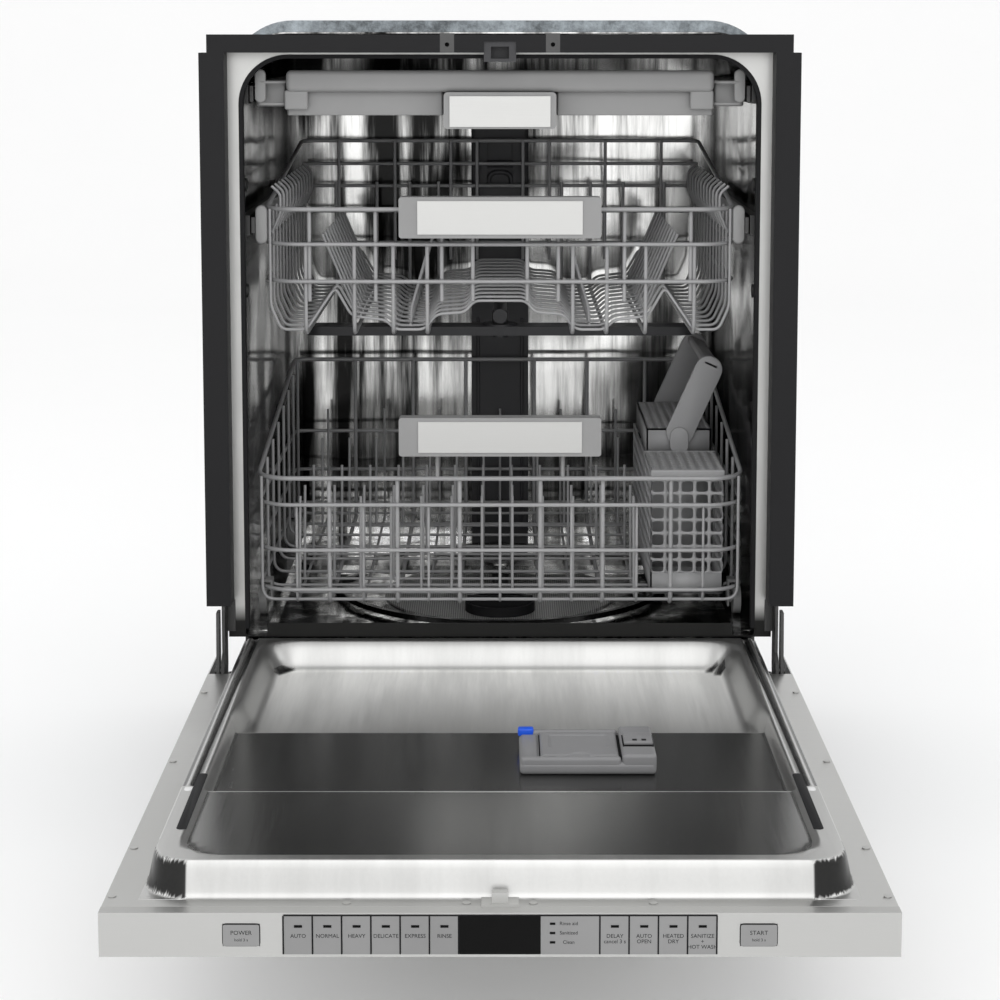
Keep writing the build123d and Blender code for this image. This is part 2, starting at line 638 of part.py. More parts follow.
def upper_rack_basket():
    """Upper rack: rims, low floor, sloping side shelves and a raised middle."""
    wires = []
    for z in (UPPER_FLOOR + 22.6, UPPER_FLOOR + 61, UPPER_RIM):
        wires += rack_rim(UPPER_HALF, z, RACK_FRONT, BACK_Y, CHAMFER)
    wires.append(rod((-UPPER_HALF, BACK_Y, UPPER_RIM + 50), (UPPER_HALF, BACK_Y, UPPER_RIM + 50), WIRE_R))
    low = UPPER_FLOOR - WELL
    for side in (-1, 1):
        for y in (RACK_FRONT + STEP, BACK_Y - STEP):
            top = UPPER_RIM if y < MID_Y else UPPER_RIM + 50
            for x in (60, 128, 196):
                wires.append(rod((side * x, y, low + STEP), (side * x, y, top), WIRE_R))
        for y in floor_rows(5):
            edge = UPPER_HALF - STEP
            wires.append(rod((side * edge, y, low + 20), (side * edge, y, UPPER_RIM + 2), WIRE_R))
            wires.append(rod((side * (edge - STEP), y, low + 22), (side * (edge - 26), y, low + 2), TINE_R))
            wires.append(rod((side * (edge - 28), y, low), (side * 56, y, low), WIRE_R))
            wires.append(rod((side * 52, y, low), (side * 30, y, low + 27), WIRE_R))
        for x in (75, 110, 150, 200):
            wires.append(rod((side * x, RACK_FRONT + STEP, low - STEP), (side * x, BACK_Y - STEP, low - STEP), WIRE_R))
    for y in floor_rows(5):
        wires.append(rod((-28, y, low + 30), (28, y, low + 30), WIRE_R))
    return wires


def upper_fold_tines(side):
    """Folding row of tines that slopes up the side of the upper rack."""
    z = UPPER_FLOOR - WELL + TINE_STEP + 4
    x = side * SIDE_TINE_X
    wires = [rod((x, RACK_FRONT + 40, z), (x, BACK_Y - 40, z), TINE_R)]
    count = int((BACK_Y - RACK_FRONT - 100) / ROW_PITCH)
    for i in range(count + 1):
        y = RACK_FRONT + 50 + i * ROW_PITCH
        wires.append(rod((x, y, z + TINE_R - BITE), (x + side * 36, y, z + 88), TINE_R))
    return wires


def upper_tines():
    """Fixed tines along both sides of the raised middle."""
    wires = []
    z = UPPER_FLOOR - WELL + TINE_STEP
    for side in (-1, 1):
        x = side * MIDDLE_TINE_X
        wires.append(rod((x, RACK_FRONT + 20, z), (x, BACK_Y - 20, z), TINE_R))
        count = int((BACK_Y - RACK_FRONT - 90) / ROW_PITCH)
        for i in range(count + 1):
            y = RACK_FRONT + 36 + i * ROW_PITCH
            wires.append(rod((x, y, z + TINE_R - BITE), (x - side * 16, y, z + 70), TINE_R))
    return wires


def mid_feed_tube():
    """Water tube under the upper rack, from the arm hub to the docking port."""
    bend = TUB_BACK - 50
    tube = rod((0, ARM_Y - 20, TUBE_Z - 24), (0, bend + 8, TUBE_Z - 24), 8)
    tube += block(-9, 9, bend - 9, bend + 9, TUBE_Z - 33, TUBE_Z + 9)
    tube += rod((0, bend, TUBE_Z), (0, TUB_BACK - 20, TUBE_Z), 8)
    tube += disc(0, ARM_Y, TUBE_Z - 50, TUBE_Z - 20, POST_R)
    return [tube]


def upper_rack_carriers():
    """Side plates that hang the upper rack on its slides."""
    return pair(block(CARRIER_X, CARRIER_X + 6, RACK_FRONT + 10, RAIL_BACK - 30, RAIL_Z - 18, RAIL_Z + 18))


def slide_rails(z, height):
    """Middle members of a telescopic slide pair."""
    x = CARRIER_X + 8
    return pair(block(x, x + 3.5, RACK_FRONT - 2, RAIL_BACK - 20, z - height / 2, z + height / 2))


def fixed_rails():
    """Channels screwed to the tub walls for the upper rack and the tray."""
    x = CARRIER_X + 13
    rails = []
    for z, height in ((RAIL_Z, 20), (TRAY_Z, 20)):
        rails += pair(block(x, TUB, RACK_FRONT - 2, RAIL_BACK, z - height / 2, z + height / 2))
    return rails


def rail_stops():
    """Light end caps at the front of the fixed rails."""
    caps = []
    for z in (RAIL_Z + 40, RAIL_Z - 70):
        caps += pair(rod((TUB - 4, RACK_FRONT + 20, z), (TUB, RACK_FRONT + 20, z), 7))
    return caps


def cutlery_tray():
    """Third rack: front beam, two shallow slatted trays and side rails."""
    z = TRAY_Z
    solids = [block(-217, 217, RACK_FRONT - 12, RACK_FRONT, z + 2, z + 24)]
    floor = z - 22
    for side in (-1, 1):
        inner = side * 58
        outer = side * 217
        x0 = min(inner, outer)
        x1 = max(inner, outer)
        tray = block(x0, x1, RACK_FRONT, BACK_Y - 20, floor, z + 4)
        tray -= block(x0 + 3, x1 - 3, RACK_FRONT + 3, BACK_Y - 23, floor + 3, z + 9)
        for i in range(10):
            y = RACK_FRONT + 20 + i * 42
            tray -= block(x0 + 12, x1 - 12, y, y + 30, floor - 1, floor + 4)
        solids.append(tray)
        beam = block(218, CARRIER_X + 6, RACK_FRONT + 6, RAIL_BACK - 30, z - 13, z + 13)
        solids.append(beam if side > 0 else flip(beam))
    solids.append(block(-57.9, 57.9, RACK_FRONT + 2, BACK_Y - 20, floor + 12, floor + 16))
    return solids


def tray_handle():
    """Grip in the middle of the tray's front."""
    body = block(-57, 57, RACK_FRONT - 18, RACK_FRONT, TRAY_Z - 35, TRAY_Z + 2)
    body = fillet(body.edges().filter_by(Axis.Y), 4.0)
    return [body - block(-48, 48, RACK_FRONT - 13, RACK_FRONT + 1, TRAY_Z - 36, TRAY_Z - 4)]


def hinge_slots():
    """Cut-outs in the door's tail for the hinge brackets and arms."""
    return pair(block(SLOT_X0, SLOT_X1, -30, DOOR_TAIL + 5, DOOR_LOW + SKIN + 2, HINGE_Z + 5))


def door_inner_liner():
    """Steel inner skin: flat flange, raised plateau and three stepped zones."""
    flange = block(-HALF + 1, HALF - 1, -REACH + FASCIA_DEPTH, -8, DOOR_TOP - 1, DOOR_TOP)
    plateau = block(-PLATEAU, PLATEAU, -REACH + 26, PLATEAU_TAIL, DOOR_TOP - 1, PLATEAU_TOP)
    corners = plateau.edges().filter_by(Axis.Z).sort_by(Axis.Y)[:2]
    plateau = fillet(corners, PLATEAU_CORNER)
    zones = ((PLATEAU_TAIL - 26, ZONE_B, DEEP, 239), (ZONE_B, ZONE_C, MIDDLE, 243), (ZONE_C, PAN_FRONT, SHALLOW, 246))
    hollow = block(-PLATEAU + 1, PLATEAU - 1, -REACH + 27, PLATEAU_TAIL - 1, DOOR_TOP - 9, PLATEAU_TOP - 1)
    corners = hollow.edges().filter_by(Axis.Z).sort_by(Axis.Y)[:2]
    hollow = fillet(corners, PLATEAU_CORNER - 1)
    skin = flange + plateau - hollow
    for y1, y0, drop, half in zones:
        width = half / 299 * HALF
        floor = PLATEAU_TOP - drop
        pad = block(-width - 1, width + 1, y0 - 1, y1 + 1, floor - 1, PLATEAU_TOP)
        skin += pad
    for y1, y0, drop, half in zones:
        width = half / 299 * HALF
        skin -= block(-width, width, y0, y1, PLATEAU_TOP - drop, PLATEAU_TOP + 9)
    skin -= hinge_slots()[0]
    skin -= hinge_slots()[1]
    return [skin]


def door_outer_panel():
    """Steel outer skin with side flanges and four bolt holes for a furniture panel."""
    low = DOOR_LOW
    shell = block(-HALF + 1, HALF - 1, -REACH + FASCIA_DEPTH, DOOR_TAIL, low, DOOR_TOP - 1)
    shell -= block(-HALF + 1 + SKIN, HALF - 1 - SKIN, -REACH, DOOR_TAIL + 5, low + SKIN, DOOR_TOP)
    for x in (-PANEL_BOLT_X / 2, PANEL_BOLT_X / 2):
        for y in (-PANEL_BOLT_Y / 2, PANEL_BOLT_Y / 2):
            shell -= disc(x, y - REACH / 2, low - 1, low + 9, BOLT_R)
    return [shell]


def fascia():
    """Control panel along the door's top edge, hollow behind and holed for the buttons."""
    body = block(-HALF + 1, HALF - 1, -REACH, -REACH + FASCIA_DEPTH, DOOR_LOW, DOOR_TOP)
    body -= block(-HALF + 4, HALF - 4, -REACH + 3, -REACH + 99, DOOR_LOW + 3, DOOR_TOP - 3)
    for x in (-BUTTON_X, BUTTON_X):
        body -= block(x - BUTTON_WIDTH / 2 - 0.4, x + BUTTON_WIDTH / 2 + 0.4, -REACH - 1, -REACH + 5,
                      KEY_Z - BUTTON_HEIGHT / 2 - 0.4, KEY_Z + BUTTON_HEIGHT / 2 + 0.4)
    return [body]


def button(x):
    """Push button with a hidden collar."""
    face = block(x - BUTTON_WIDTH / 2, x + BUTTON_WIDTH / 2, -REACH - 1.2, -REACH + 5,
                 KEY_Z - BUTTON_HEIGHT / 2, KEY_Z + BUTTON_HEIGHT / 2)
    collar = block(x - BUTTON_WIDTH / 2 - 2, x + BUTTON_WIDTH / 2 + 2, -REACH + 3.4, -REACH + 5,
                   KEY_Z - BUTTON_HEIGHT / 2 - 2, KEY_Z + BUTTON_HEIGHT / 2 + 2)
    return [fillet(face.edges().filter_by(Axis.Y), 1.5) + collar]


def strip(x0, x1):
    """Thin plate on the fascia's face."""
    return block(x0, x1, KEY_Y, -REACH, KEY_Z - KEY_HEIGHT / 2, KEY_Z + KEY_HEIGHT / 2)


def touch_keys():
    """Six programme keys, the indicator panel and four option keys."""
    edge = DISPLAY_WIDTH / 2 + 0.2
    plates = []
    for i in range(6):
        plates.append(strip(-edge - (i + 1) * KEY_PITCH + 0.5, -edge - i * KEY_PITCH))
    start = edge + 44
    plates.append(strip(edge, start - 0.5))
    for i in range(4):
        plates.append(strip(start + i * KEY_PITCH, start + (i + 1) * KEY_PITCH - 0.5))
    return plates


def display_window():
    """Dark glass over the display."""
    return [strip(-DISPLAY_WIDTH / 2, DISPLAY_WIDTH / 2)]


def latch_strike():
    """Hook that enters the catch when the door shuts."""
    y = -(LATCH_Z - HINGE_Z + 2)
    base = block(-14, 14, y - 6, y + 9, DOOR_TOP, DOOR_TOP + 2)
    return [base + block(-6, 6, y - 3, y + 4, DOOR_TOP + 1, HINGE_Z + 9)]


def door_screws():
    """Flange screws along both sides and the near edge of the door."""
    heads = []
    for y in (-0.115, -0.45, -0.79, -0.95):
        heads += pair(disc(HALF - 6, y * REACH, DOOR_TOP, DOOR_TOP + SCREW_HEAD, HEAD_SCREW_R))
    for x in (25, 115):
        heads += pair(disc(x, -REACH + 19, DOOR_TOP, DOOR_TOP + SCREW_HEAD, HEAD_SCREW_R))
    return heads


def dispenser_body():
    """Detergent dispenser: an open cup on the left and the rinse aid tank on the right."""
    body = block(DISP_X0, DISP_X1, DISP_Y0, DISP_Y1, DISP_Z, DISP_Z + 12)
    body += block(LID_X1 + 3, DISP_X1, DISP_Y0, DISP_Y1, DISP_Z, DISP_Z + 18)
    for y in (DISP_Y0 + 3, DISP_Y1 - 8.5):
        body += block(DISP_X0 + 4, LID_X1 + 3, y, y + 5.5, DISP_Z + 11, DISP_Z + 15)
    body -= block(DISP_X0 + 24, LID_X1 - 6, DISP_Y0 + 14, DISP_Y1 - 14, DISP_Z + 3, DISP_Z + 19)
    body -= rod((LID_X1 + 17, CAP_Y, DISP_Z + 10), (LID_X1 + 17, CAP_Y, DISP_Z + 19), 9)
    return [body]


def detergent_lid():
    """Lid that slides sideways off the detergent cup, with a thumb notch in its near edge."""
    lid = block(DISP_X0 + 18, LID_X1, DISP_Y0 + 9, DISP_Y1 - 9, DISP_Z + 12.5, DISP_Z + 15)
    notch = disc((DISP_X0 + 18 + LID_X1) / 2, DISP_Y0 + 9, DISP_Z + 11, DISP_Z + 16, 7)
    return [lid - notch]


def rinse_aid_cap():
    """Flap over the rinse aid filler."""
    flap = block(LID_X1 + 5, DISP_X1 - 3, CAP_Y - 14, CAP_Y + 14, DISP_Z + 18.5, DISP_Z + 20.5)
    z = DISP_Z + 20.5
    return [flap + rod((DISP_X1 - 3, CAP_Y - 14, z), (DISP_X1 - 3, CAP_Y + 14, z), BARREL_R)]


def spray_arms():
    """The three spray arms, each with its height above the floor."""
    lower = spray_arm(TUB_FLOOR_Z + 20, 2 * TUB - 76, LOWER_ARM_WIDTH, 10, POST_R + 0.4)
    middle = spray_arm(TUBE_Z - 46, 2 * TUB - 90, MID_ARM_WIDTH, 10, POST_R + 0.4)
    upper = spray_arm(TUB_TOP - 22, TOP_ARM_LENGTH, TOP_ARM_WIDTH, 8, SPINDLE_R + 0.4)
    return {"lower_spray_arm": [lower], "mid_spray_arm": [middle], "top_spray_arm": [upper]}


cabinet = {
    "tub": tub(),
    "front_frame": front_frame(),
    "tub_gasket": tub_gasket(),
    "black_trims": trims(),
    "counter_brackets": counter_brackets(),
    "latch_housing": latch_housing(),
    "insulation_blanket": insulation_blanket(),
    "base_pan": base_pan(),
    "kick_plate": kick_plate(),
    "levelling_feet": levelling_feet(),
    "hinge_brackets": hinge_brackets(),
    "door_springs": door_springs(),
    "sump": sump(),
    "circulation_pump": circulation_pump(),
    "drain_pump": drain_pump(),
    "inlet_valve": inlet_valve(),
    "heater": heater(),
    "filter_plate": filter_plate(),
    "filter_cup": filter_cup(),
    "spray_posts": spray_posts(),
    "feed_duct": feed_duct(),
    "fixed_rails": fixed_rails() + rail_stops(),
}
racks = {
    "lower_rack_basket": lower_rack_basket() + lower_tines(),
    "lower_rack_handle": lower_rack_handle(),
    "lower_handle_plate": handle_plate(84, LOWER_HANDLE_Z + 4, 32, HANDLE_FRONT),
    "wheel_carriers": wheel_carriers(),
    "front_wheels": wheels(WHEEL_FRONT_Y),
    "rear_wheels": wheels(WHEEL_BACK_Y),
    "lower_fold_tines": tine_row(TINE_X0, BASKET_X0 - 12, FOLD_Y, FOLD_Z, FOLD_HEIGHT, FOLD_LEAN),
    "silverware_basket": silverware_basket(),
    "basket_lid": basket_lid(),
    "basket_bail": basket_bail(),
    "upper_rack_basket": upper_rack_basket() + upper_tines(),
    "upper_rack_handle": handle(103, UPPER_HANDLE_Z, 42, HANDLE_FRONT, HANDLE_DEPTH),
    "upper_handle_plate": handle_plate(84, UPPER_HANDLE_Z + 4, 34, HANDLE_FRONT),
    "upper_fold_tines_left": upper_fold_tines(-1),
    "upper_fold_tines_right": upper_fold_tines(1),
    "mid_feed_tube": mid_feed_tube(),
    "upper_rack_carriers": upper_rack_carriers(),
    "upper_slide_rails": slide_rails(RAIL_Z, 16),
    "cutlery_tray": cutlery_tray(),
    "tray_handle": tray_handle(),
    "tray_handle_plate": handle_plate(51, TRAY_Z - 33, 31, RACK_FRONT - 18),
    "tray_slide_rails": slide_rails(TRAY_Z, 16),
}
door = {
    "hinge_arms": hinge_arms(),
    "door_outer_panel": door_outer_panel(),
    "door_inner_liner": door_inner_liner(),
    "fascia": fascia(),
    "touch_keys": touch_keys(),
    "display_window": display_window(),
    "power_button": button(-BUTTON_X),
    "start_button": button(BUTTON_X),
    "latch_strike": latch_strike(),
}
dispenser = {
    "dispenser_body": dispenser_body(),
    "detergent_lid": detergent_lid(),
    "rinse_aid_cap": rinse_aid_cap(),
}
for group in (cabinet, spray_arms(), racks, door, dispenser):
    for node, solids in group.items():
        save(node, solids)
save("door_screws", door_screws())
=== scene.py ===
import json
from math import pi, radians, sin, cos
import bpy
import numpy as np
from bpy.props import FloatProperty, FloatVectorProperty, IntProperty, PointerProperty
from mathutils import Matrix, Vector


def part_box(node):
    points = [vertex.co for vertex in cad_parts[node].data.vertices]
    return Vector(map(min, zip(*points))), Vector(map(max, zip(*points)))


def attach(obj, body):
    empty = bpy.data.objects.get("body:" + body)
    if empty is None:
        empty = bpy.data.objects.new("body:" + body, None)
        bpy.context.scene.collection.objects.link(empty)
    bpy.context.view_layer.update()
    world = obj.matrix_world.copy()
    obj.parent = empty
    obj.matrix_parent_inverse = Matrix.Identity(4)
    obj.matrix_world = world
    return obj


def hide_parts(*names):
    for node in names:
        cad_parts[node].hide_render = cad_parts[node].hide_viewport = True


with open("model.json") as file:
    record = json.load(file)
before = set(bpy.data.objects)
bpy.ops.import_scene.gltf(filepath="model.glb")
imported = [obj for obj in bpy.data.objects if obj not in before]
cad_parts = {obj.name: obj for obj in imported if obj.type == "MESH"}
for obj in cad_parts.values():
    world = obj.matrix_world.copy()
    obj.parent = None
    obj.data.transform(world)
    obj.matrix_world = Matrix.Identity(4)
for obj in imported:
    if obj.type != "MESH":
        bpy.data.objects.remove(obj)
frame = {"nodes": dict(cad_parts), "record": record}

bl_info = {
    "name": "Built-in dishwasher",
    "version": (1, 0, 0),
    "blender": (4, 5, 0),
    "location": "View3D > Sidebar > Dishwasher",
    "description": "Builds the racks, door liner, fittings and finishes of a built-in dishwasher",
    "category": "Object",
}

MM = 0.001
TUB_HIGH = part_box("tub")[1]
LOWER_LOW, LOWER_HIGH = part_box("lower_rack_basket")
UPPER_LOW, UPPER_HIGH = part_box("upper_rack_basket")
LINER_LOW, LINER_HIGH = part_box("door_inner_liner")
FASCIA_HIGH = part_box("fascia")[1]


def colour(name, default, words):
    """Colour property with its words."""
    return FloatVectorProperty(name=name, description=words, default=default, subtype="COLOR",
                               size=3, min=0, max=1)


def length(name, default, words):
    """Length property in metres."""
    return FloatProperty(name=name, description=words, default=default, unit="LENGTH", min=0)


class WireSettings(bpy.types.PropertyGroup):
    thick: length("Thick wire", 2.1 * MM, "Radius of rims and floor wires")
    thin: length("Thin wire", 1.5 * MM, "Radius of tines and filling wires")
    bend: length("Bend", 14 * MM, "Straight length taken up by each bend")
    sides: IntProperty(name="Sides", description="Faces round a wire", default=10, min=6, max=24)


class DoorSettings(bpy.types.PropertyGroup):
    wall: length("Wall width", 9 * MM, "Width of the pressed wall round the plateau")
    corner: length("Corner", 38 * MM, "Rounding of the plateau's near corners")
    deep: length("Deep zone", 27 * MM, "Depth of the zone next to the tub")
    middle: length("Middle zone", 15 * MM, "Depth of the zone with the dispenser")
    shallow: length("Shallow zone", 3 * MM, "Depth of the zone next to the controls")
    step: length("Step", 6 * MM, "Width of each step between zones")


class FinishSettings(bpy.types.PropertyGroup):
    steel: colour("Steel", (0.62, 0.62, 0.61), "Stainless tub and door liner")
    panel: colour("Fascia", (0.50, 0.50, 0.49), "Brushed control panel and door flange")
    inlay: colour("Inlay", (0.55, 0.55, 0.54), "Handle inlays")
    zinc: colour("Zinc", (0.085, 0.085, 0.085), "Hinges, rails and feet")
    black: colour("Black", (0.010, 0.010, 0.011), "Trims and seals")
    dark: colour("Dark plastic", (0.045, 0.045, 0.048), "Duct and pumps")
    grey: colour("Grey plastic", (0.28, 0.28, 0.28), "Handles, beams and wheels")
    basket: colour("Basket plastic", (0.33, 0.33, 0.335), "Silverware basket")
    dispenser: colour("Dispenser plastic", (0.21, 0.21, 0.215), "Detergent dispenser")
    wire: colour("Wire coat", (0.32, 0.32, 0.325), "Nylon-coated wires")
    felt: colour("Blanket", (0.31, 0.345, 0.37), "Insulation blanket")
    blue: colour("Release tab", (0.0, 0.08, 0.65), "Blue tab of the dispenser")


class StageSettings(bpy.types.PropertyGroup):
    lens: FloatProperty(name="Lens", description="Focal length in millimetres", default=81.81)
    rise: FloatProperty(name="Shift", description="Vertical lens shift", default=-0.2)
    tilt: FloatProperty(name="Tilt", description="Downward tilt", default=0.1156, subtype="ANGLE")
    distance: length("Distance", 2.2273, "Camera distance from the middle of the footprint")
    height: length("Height", 0.8453, "Camera height")
    key: FloatProperty(name="Key light", description="Power of the large front light in watts", default=16)


# ------------------------------------------------------------------ node helpers
def node_group(name, inputs, outputs):
    """New shader group with named sockets: (name, kind, default) each."""
    group = bpy.data.node_groups.new(name, "ShaderNodeTree")
    for label, kind, value in inputs:
        socket = group.interface.new_socket(label, in_out="INPUT", socket_type=kind)
        if value is not None:
            socket.default_value = value
    for label, kind in outputs:
        group.interface.new_socket(label, in_out="OUTPUT", socket_type=kind)
    return group, group.nodes.new("NodeGroupInput").outputs, group.nodes.new("NodeGroupOutput")


def plug(tree, node, sockets):
    """Gives each named input of a node a constant, or links another node's output to it."""
    for key, value in sockets.items():
        if isinstance(value, bpy.types.NodeSocket):
            tree.links.new(value, node.inputs[key])
        else:
            node.inputs[key].default_value = value


def add(tree, kind, sockets=None, **values):
    """Node with plain attributes set and its inputs plugged."""
    node = tree.nodes.new(kind)
    for key, value in values.items():
        setattr(node, key, value)
    plug(tree, node, sockets or {})
    return node


def source(socket):
    """Output that an input is linked to."""
    return socket.links[0].from_socket


def sums(tree, operation, *operands):
    """Result of a maths node."""
    return add(tree, "ShaderNodeMath", dict(enumerate(operands)), operation=operation).outputs[0]


def times(tree, colour, factor):
    """Colour times a factor."""
    return add(tree, "ShaderNodeVectorMath", {0: colour, "Scale": factor}, operation="SCALE").outputs[0]


def stretched(tree, entry):
    """A group's vector times its stretch."""
    node = add(tree, "ShaderNodeVectorMath", {0: entry["Vector"], 1: entry["Stretch"]}, operation="MULTIPLY")
    return node.outputs[0]


def noise(tree, vector, scale, detail=4.0, rough=0.6):
    """Noise texture read at a vector."""
    sockets = {"Vector": vector, "Scale": scale, "Detail": detail, "Roughness": rough}
    return add(tree, "ShaderNodeTexNoise", sockets).outputs["Fac"]


def ranged(tree, value, start, end, low, high, kind="LINEAR"):
    """Maps start..end of a value to low..high, all of them numbers or sockets, and stops at both ends."""
    sockets = {"Value": value, "From Min": start, "From Max": end, "To Min": low, "To Max": high}
    return add(tree, "ShaderNodeMapRange", sockets, clamp=True, interpolation_type=kind).outputs["Result"]


def bumped(tree, height, distance, **more):
    """Normal from a height."""
    return add(tree, "ShaderNodeBump", {"Height": height, "Distance": distance, **more}).outputs["Normal"]


def brushed_group():
    """Brushed grain: noise stretched along one axis, for roughness, shade and height."""
    group, entry, leave = node_group(
        "brushed_grain",
        [("Vector", "NodeSocketVector", None), ("Stretch", "NodeSocketVector", (1, 60, 60)),
         ("Low", "NodeSocketFloat", 0.2), ("High", "NodeSocketFloat", 0.35),
         ("Colour", "NodeSocketColor", None), ("Depth", "NodeSocketFloat", 0.08)],
        [("Colour", "NodeSocketColor"), ("Roughness", "NodeSocketFloat"), ("Height", "NodeSocketFloat")])
    grain = noise(group, stretched(group, entry), 20.0, 6.0, 0.7)
    smears = noise(group, entry["Vector"], 5.0, 3.0, 0.5)
    rough = ranged(group, grain, 0.3, 0.7, entry["Low"], entry["High"])
    plug(group, leave, {
        "Colour": times(group, entry["Colour"], ranged(group, grain, 0.3, 0.7, 0.94, 1.0)),
        "Roughness": sums(group, "MULTIPLY_ADD", smears, 0.06, rough),
        "Height": sums(group, "MULTIPLY", grain, entry["Depth"]),
    })


def moulded_group():
    """Moulded plastic: fine spark grain over slow variation in shade."""
    group, entry, leave = node_group(
        "moulded_grain",
        [("Vector", "NodeSocketVector", None), ("Grain", "NodeSocketFloat", 1400.0),
         ("Colour", "NodeSocketColor", None), ("Rough", "NodeSocketFloat", 0.45)],
        [("Colour", "NodeSocketColor"), ("Roughness", "NodeSocketFloat"), ("Height", "NodeSocketFloat")])
    slow = noise(group, entry["Vector"], 9.0, 3.0)
    plug(group, leave, {
        "Colour": times(group, entry["Colour"], ranged(group, slow, 0.3, 0.7, 0.92, 1.06)),
        "Roughness": sums(group, "MULTIPLY_ADD", slow, 0.12, entry["Rough"]),
        "Height": noise(group, entry["Vector"], entry["Grain"], 3.0, 0.5),
    })


def painted_reflection_group():
    """Painted reflection: bright and dark streaks painted into the colour, as polished steel mirrors them: stretched
    noise over broad patches.
    """
    group, entry, leave = node_group(
        "mirror_streaks",
        [("Vector", "NodeSocketVector", None), ("Stretch", "NodeSocketVector", (9, 9, 0.9)),
         ("Colour", "NodeSocketColor", None), ("Dark", "NodeSocketFloat", 0.1),
         ("Light", "NodeSocketFloat", 1.0)],
        [("Colour", "NodeSocketColor")])
    lines = noise(group, stretched(group, entry), 3.0, 5.0, 0.65)
    patches = noise(group, entry["Vector"], 4.0, 2.0, 0.5)
    total = sums(group, "MULTIPLY_ADD", patches, 0.5, lines)
    shade = ranged(group, total, 0.62, 0.92, entry["Dark"], entry["Light"], "SMOOTHSTEP")
    plug(group, leave, {"Colour": times(group, entry["Colour"], shade)})


def start_material(name):
    """Empty material with a Principled shader and object coordinates."""
    material = bpy.data.materials.new(name)
    material.use_nodes = True
    tree = material.node_tree
    place = add(tree, "ShaderNodeTexCoord").outputs["Object"]
    return material, tree, tree.nodes["Principled BSDF"], place


def finish_material(tree, shader, grain, sockets, distance):
    """Adds a grain group and joins it to the shader's colour, roughness and bump."""
    maker = add(tree, "ShaderNodeGroup", node_tree=bpy.data.node_groups[grain])
    plug(tree, maker, sockets)
    plug(tree, shader, {
        "Base Color": maker.outputs["Colour"],
        "Roughness": maker.outputs["Roughness"],
        "Normal": bumped(tree, maker.outputs["Height"], distance),
    })


def steel(name, tint, low, high, stretch, depth=0.08, waves=0.0, streaks=None, mask=None):
    """Brushed or polished steel, its grain drawn out along the smallest stretch.

    Streaks are painted reflections, bright and dark streaks in the colour, given as (stretch, darkest,
    lightest). A mask is an attribute of painted light and shade that scales the colour, and dulls the
    steel where it is over 0.7. Waves is the height of slow dents in metres.
    """
    material, tree, shader, place = start_material(name)
    plug(tree, shader, {"Metallic": 1.0})
    colour, rough, normal = (shader.inputs[key] for key in ("Base Color", "Roughness", "Normal"))
    finish_material(tree, shader, "brushed_grain", {
        "Stretch": stretch, "Low": low, "High": high, "Colour": (*tint, 1), "Depth": depth, "Vector": place,
    }, 0.0004)
    # Painted reflection: the streaks scale the base colour into bright and dark bands.
    if streaks:
        mirror = add(tree, "ShaderNodeGroup", node_tree=bpy.data.node_groups["mirror_streaks"])
        plug(tree, mirror, {"Stretch": streaks[0], "Dark": streaks[1], "Light": streaks[2], "Vector": place,
                            "Colour": source(colour)})
        plug(tree, shader, {"Base Color": mirror.outputs["Colour"]})
    # Painted light and shade: the mask attribute scales the base colour point by point.
    if mask:
        shade = add(tree, "ShaderNodeAttribute", attribute_name=mask).outputs["Fac"]
        excess = ranged(tree, shade, 0.7, 1.5, 0.0, 0.6)
        plug(tree, shader, {"Base Color": times(tree, source(colour), shade),
                            "Roughness": sums(tree, "MULTIPLY_ADD", excess, 1.0, source(rough))})
    if waves:
        dents = noise(tree, place, 7.0, 1.0, 0.4)
        plug(tree, shader, {"Normal": bumped(tree, dents, waves, Normal=source(normal))})
    return material


def fade(material, axis, start, end, low, high):
    """Paints light and shade: scales the base colour from low to high as |x|, |y| or |z| goes from start to end."""
    tree = material.node_tree
    shader = tree.nodes["Principled BSDF"]
    place = add(tree, "ShaderNodeSeparateXYZ", {0: add(tree, "ShaderNodeTexCoord").outputs["Object"]})
    share = ranged(tree, sums(tree, "ABSOLUTE", place.outputs[axis]), start, end, low, high)
    plug(tree, shader, {"Base Color": times(tree, source(shader.inputs["Base Color"]), share)})


def plastic(name, tint, rough, grain=1400.0, bump=0.00006, shine=0.5):
    """Moulded plastic, coat or rubber."""
    material, tree, shader, place = start_material(name)
    plug(tree, shader, {"Specular IOR Level": shine})
    finish_material(tree, shader, "moulded_grain",
                    {"Grain": grain, "Rough": rough, "Colour": (*tint, 1), "Vector": place}, bump)


def ramped(tree, value, stops):
    """Colour from a ramp of two (position, colour) stops."""
    ramp = add(tree, "ShaderNodeValToRGB", {"Fac": value})
    for element, (position, colour) in zip(ramp.color_ramp.elements, stops):
        element.position = position
        element.color = (*colour, 1)
    return ramp.outputs["Color"]


def felt(name, tint):
    """Mottled fibre felt: two noises blend a dark and a light fibre colour."""
    material, tree, shader, place = start_material(name)
    fibres = noise(tree, place, 160.0, 8.0, 0.75)
    blots = noise(tree, place, 22.0, 5.0, 0.7)
    total = sums(tree, "MULTIPLY_ADD", blots, 0.6, sums(tree, "MULTIPLY", fibres, 0.5))
    stops = ((0.42, [c * 0.35 for c in tint]), (0.68, [min(1, c * 1.5) for c in tint]))
    plug(tree, shader, {"Roughness": 0.95, "Base Color": ramped(tree, total, stops),
                        "Normal": bumped(tree, total, 0.0015)})


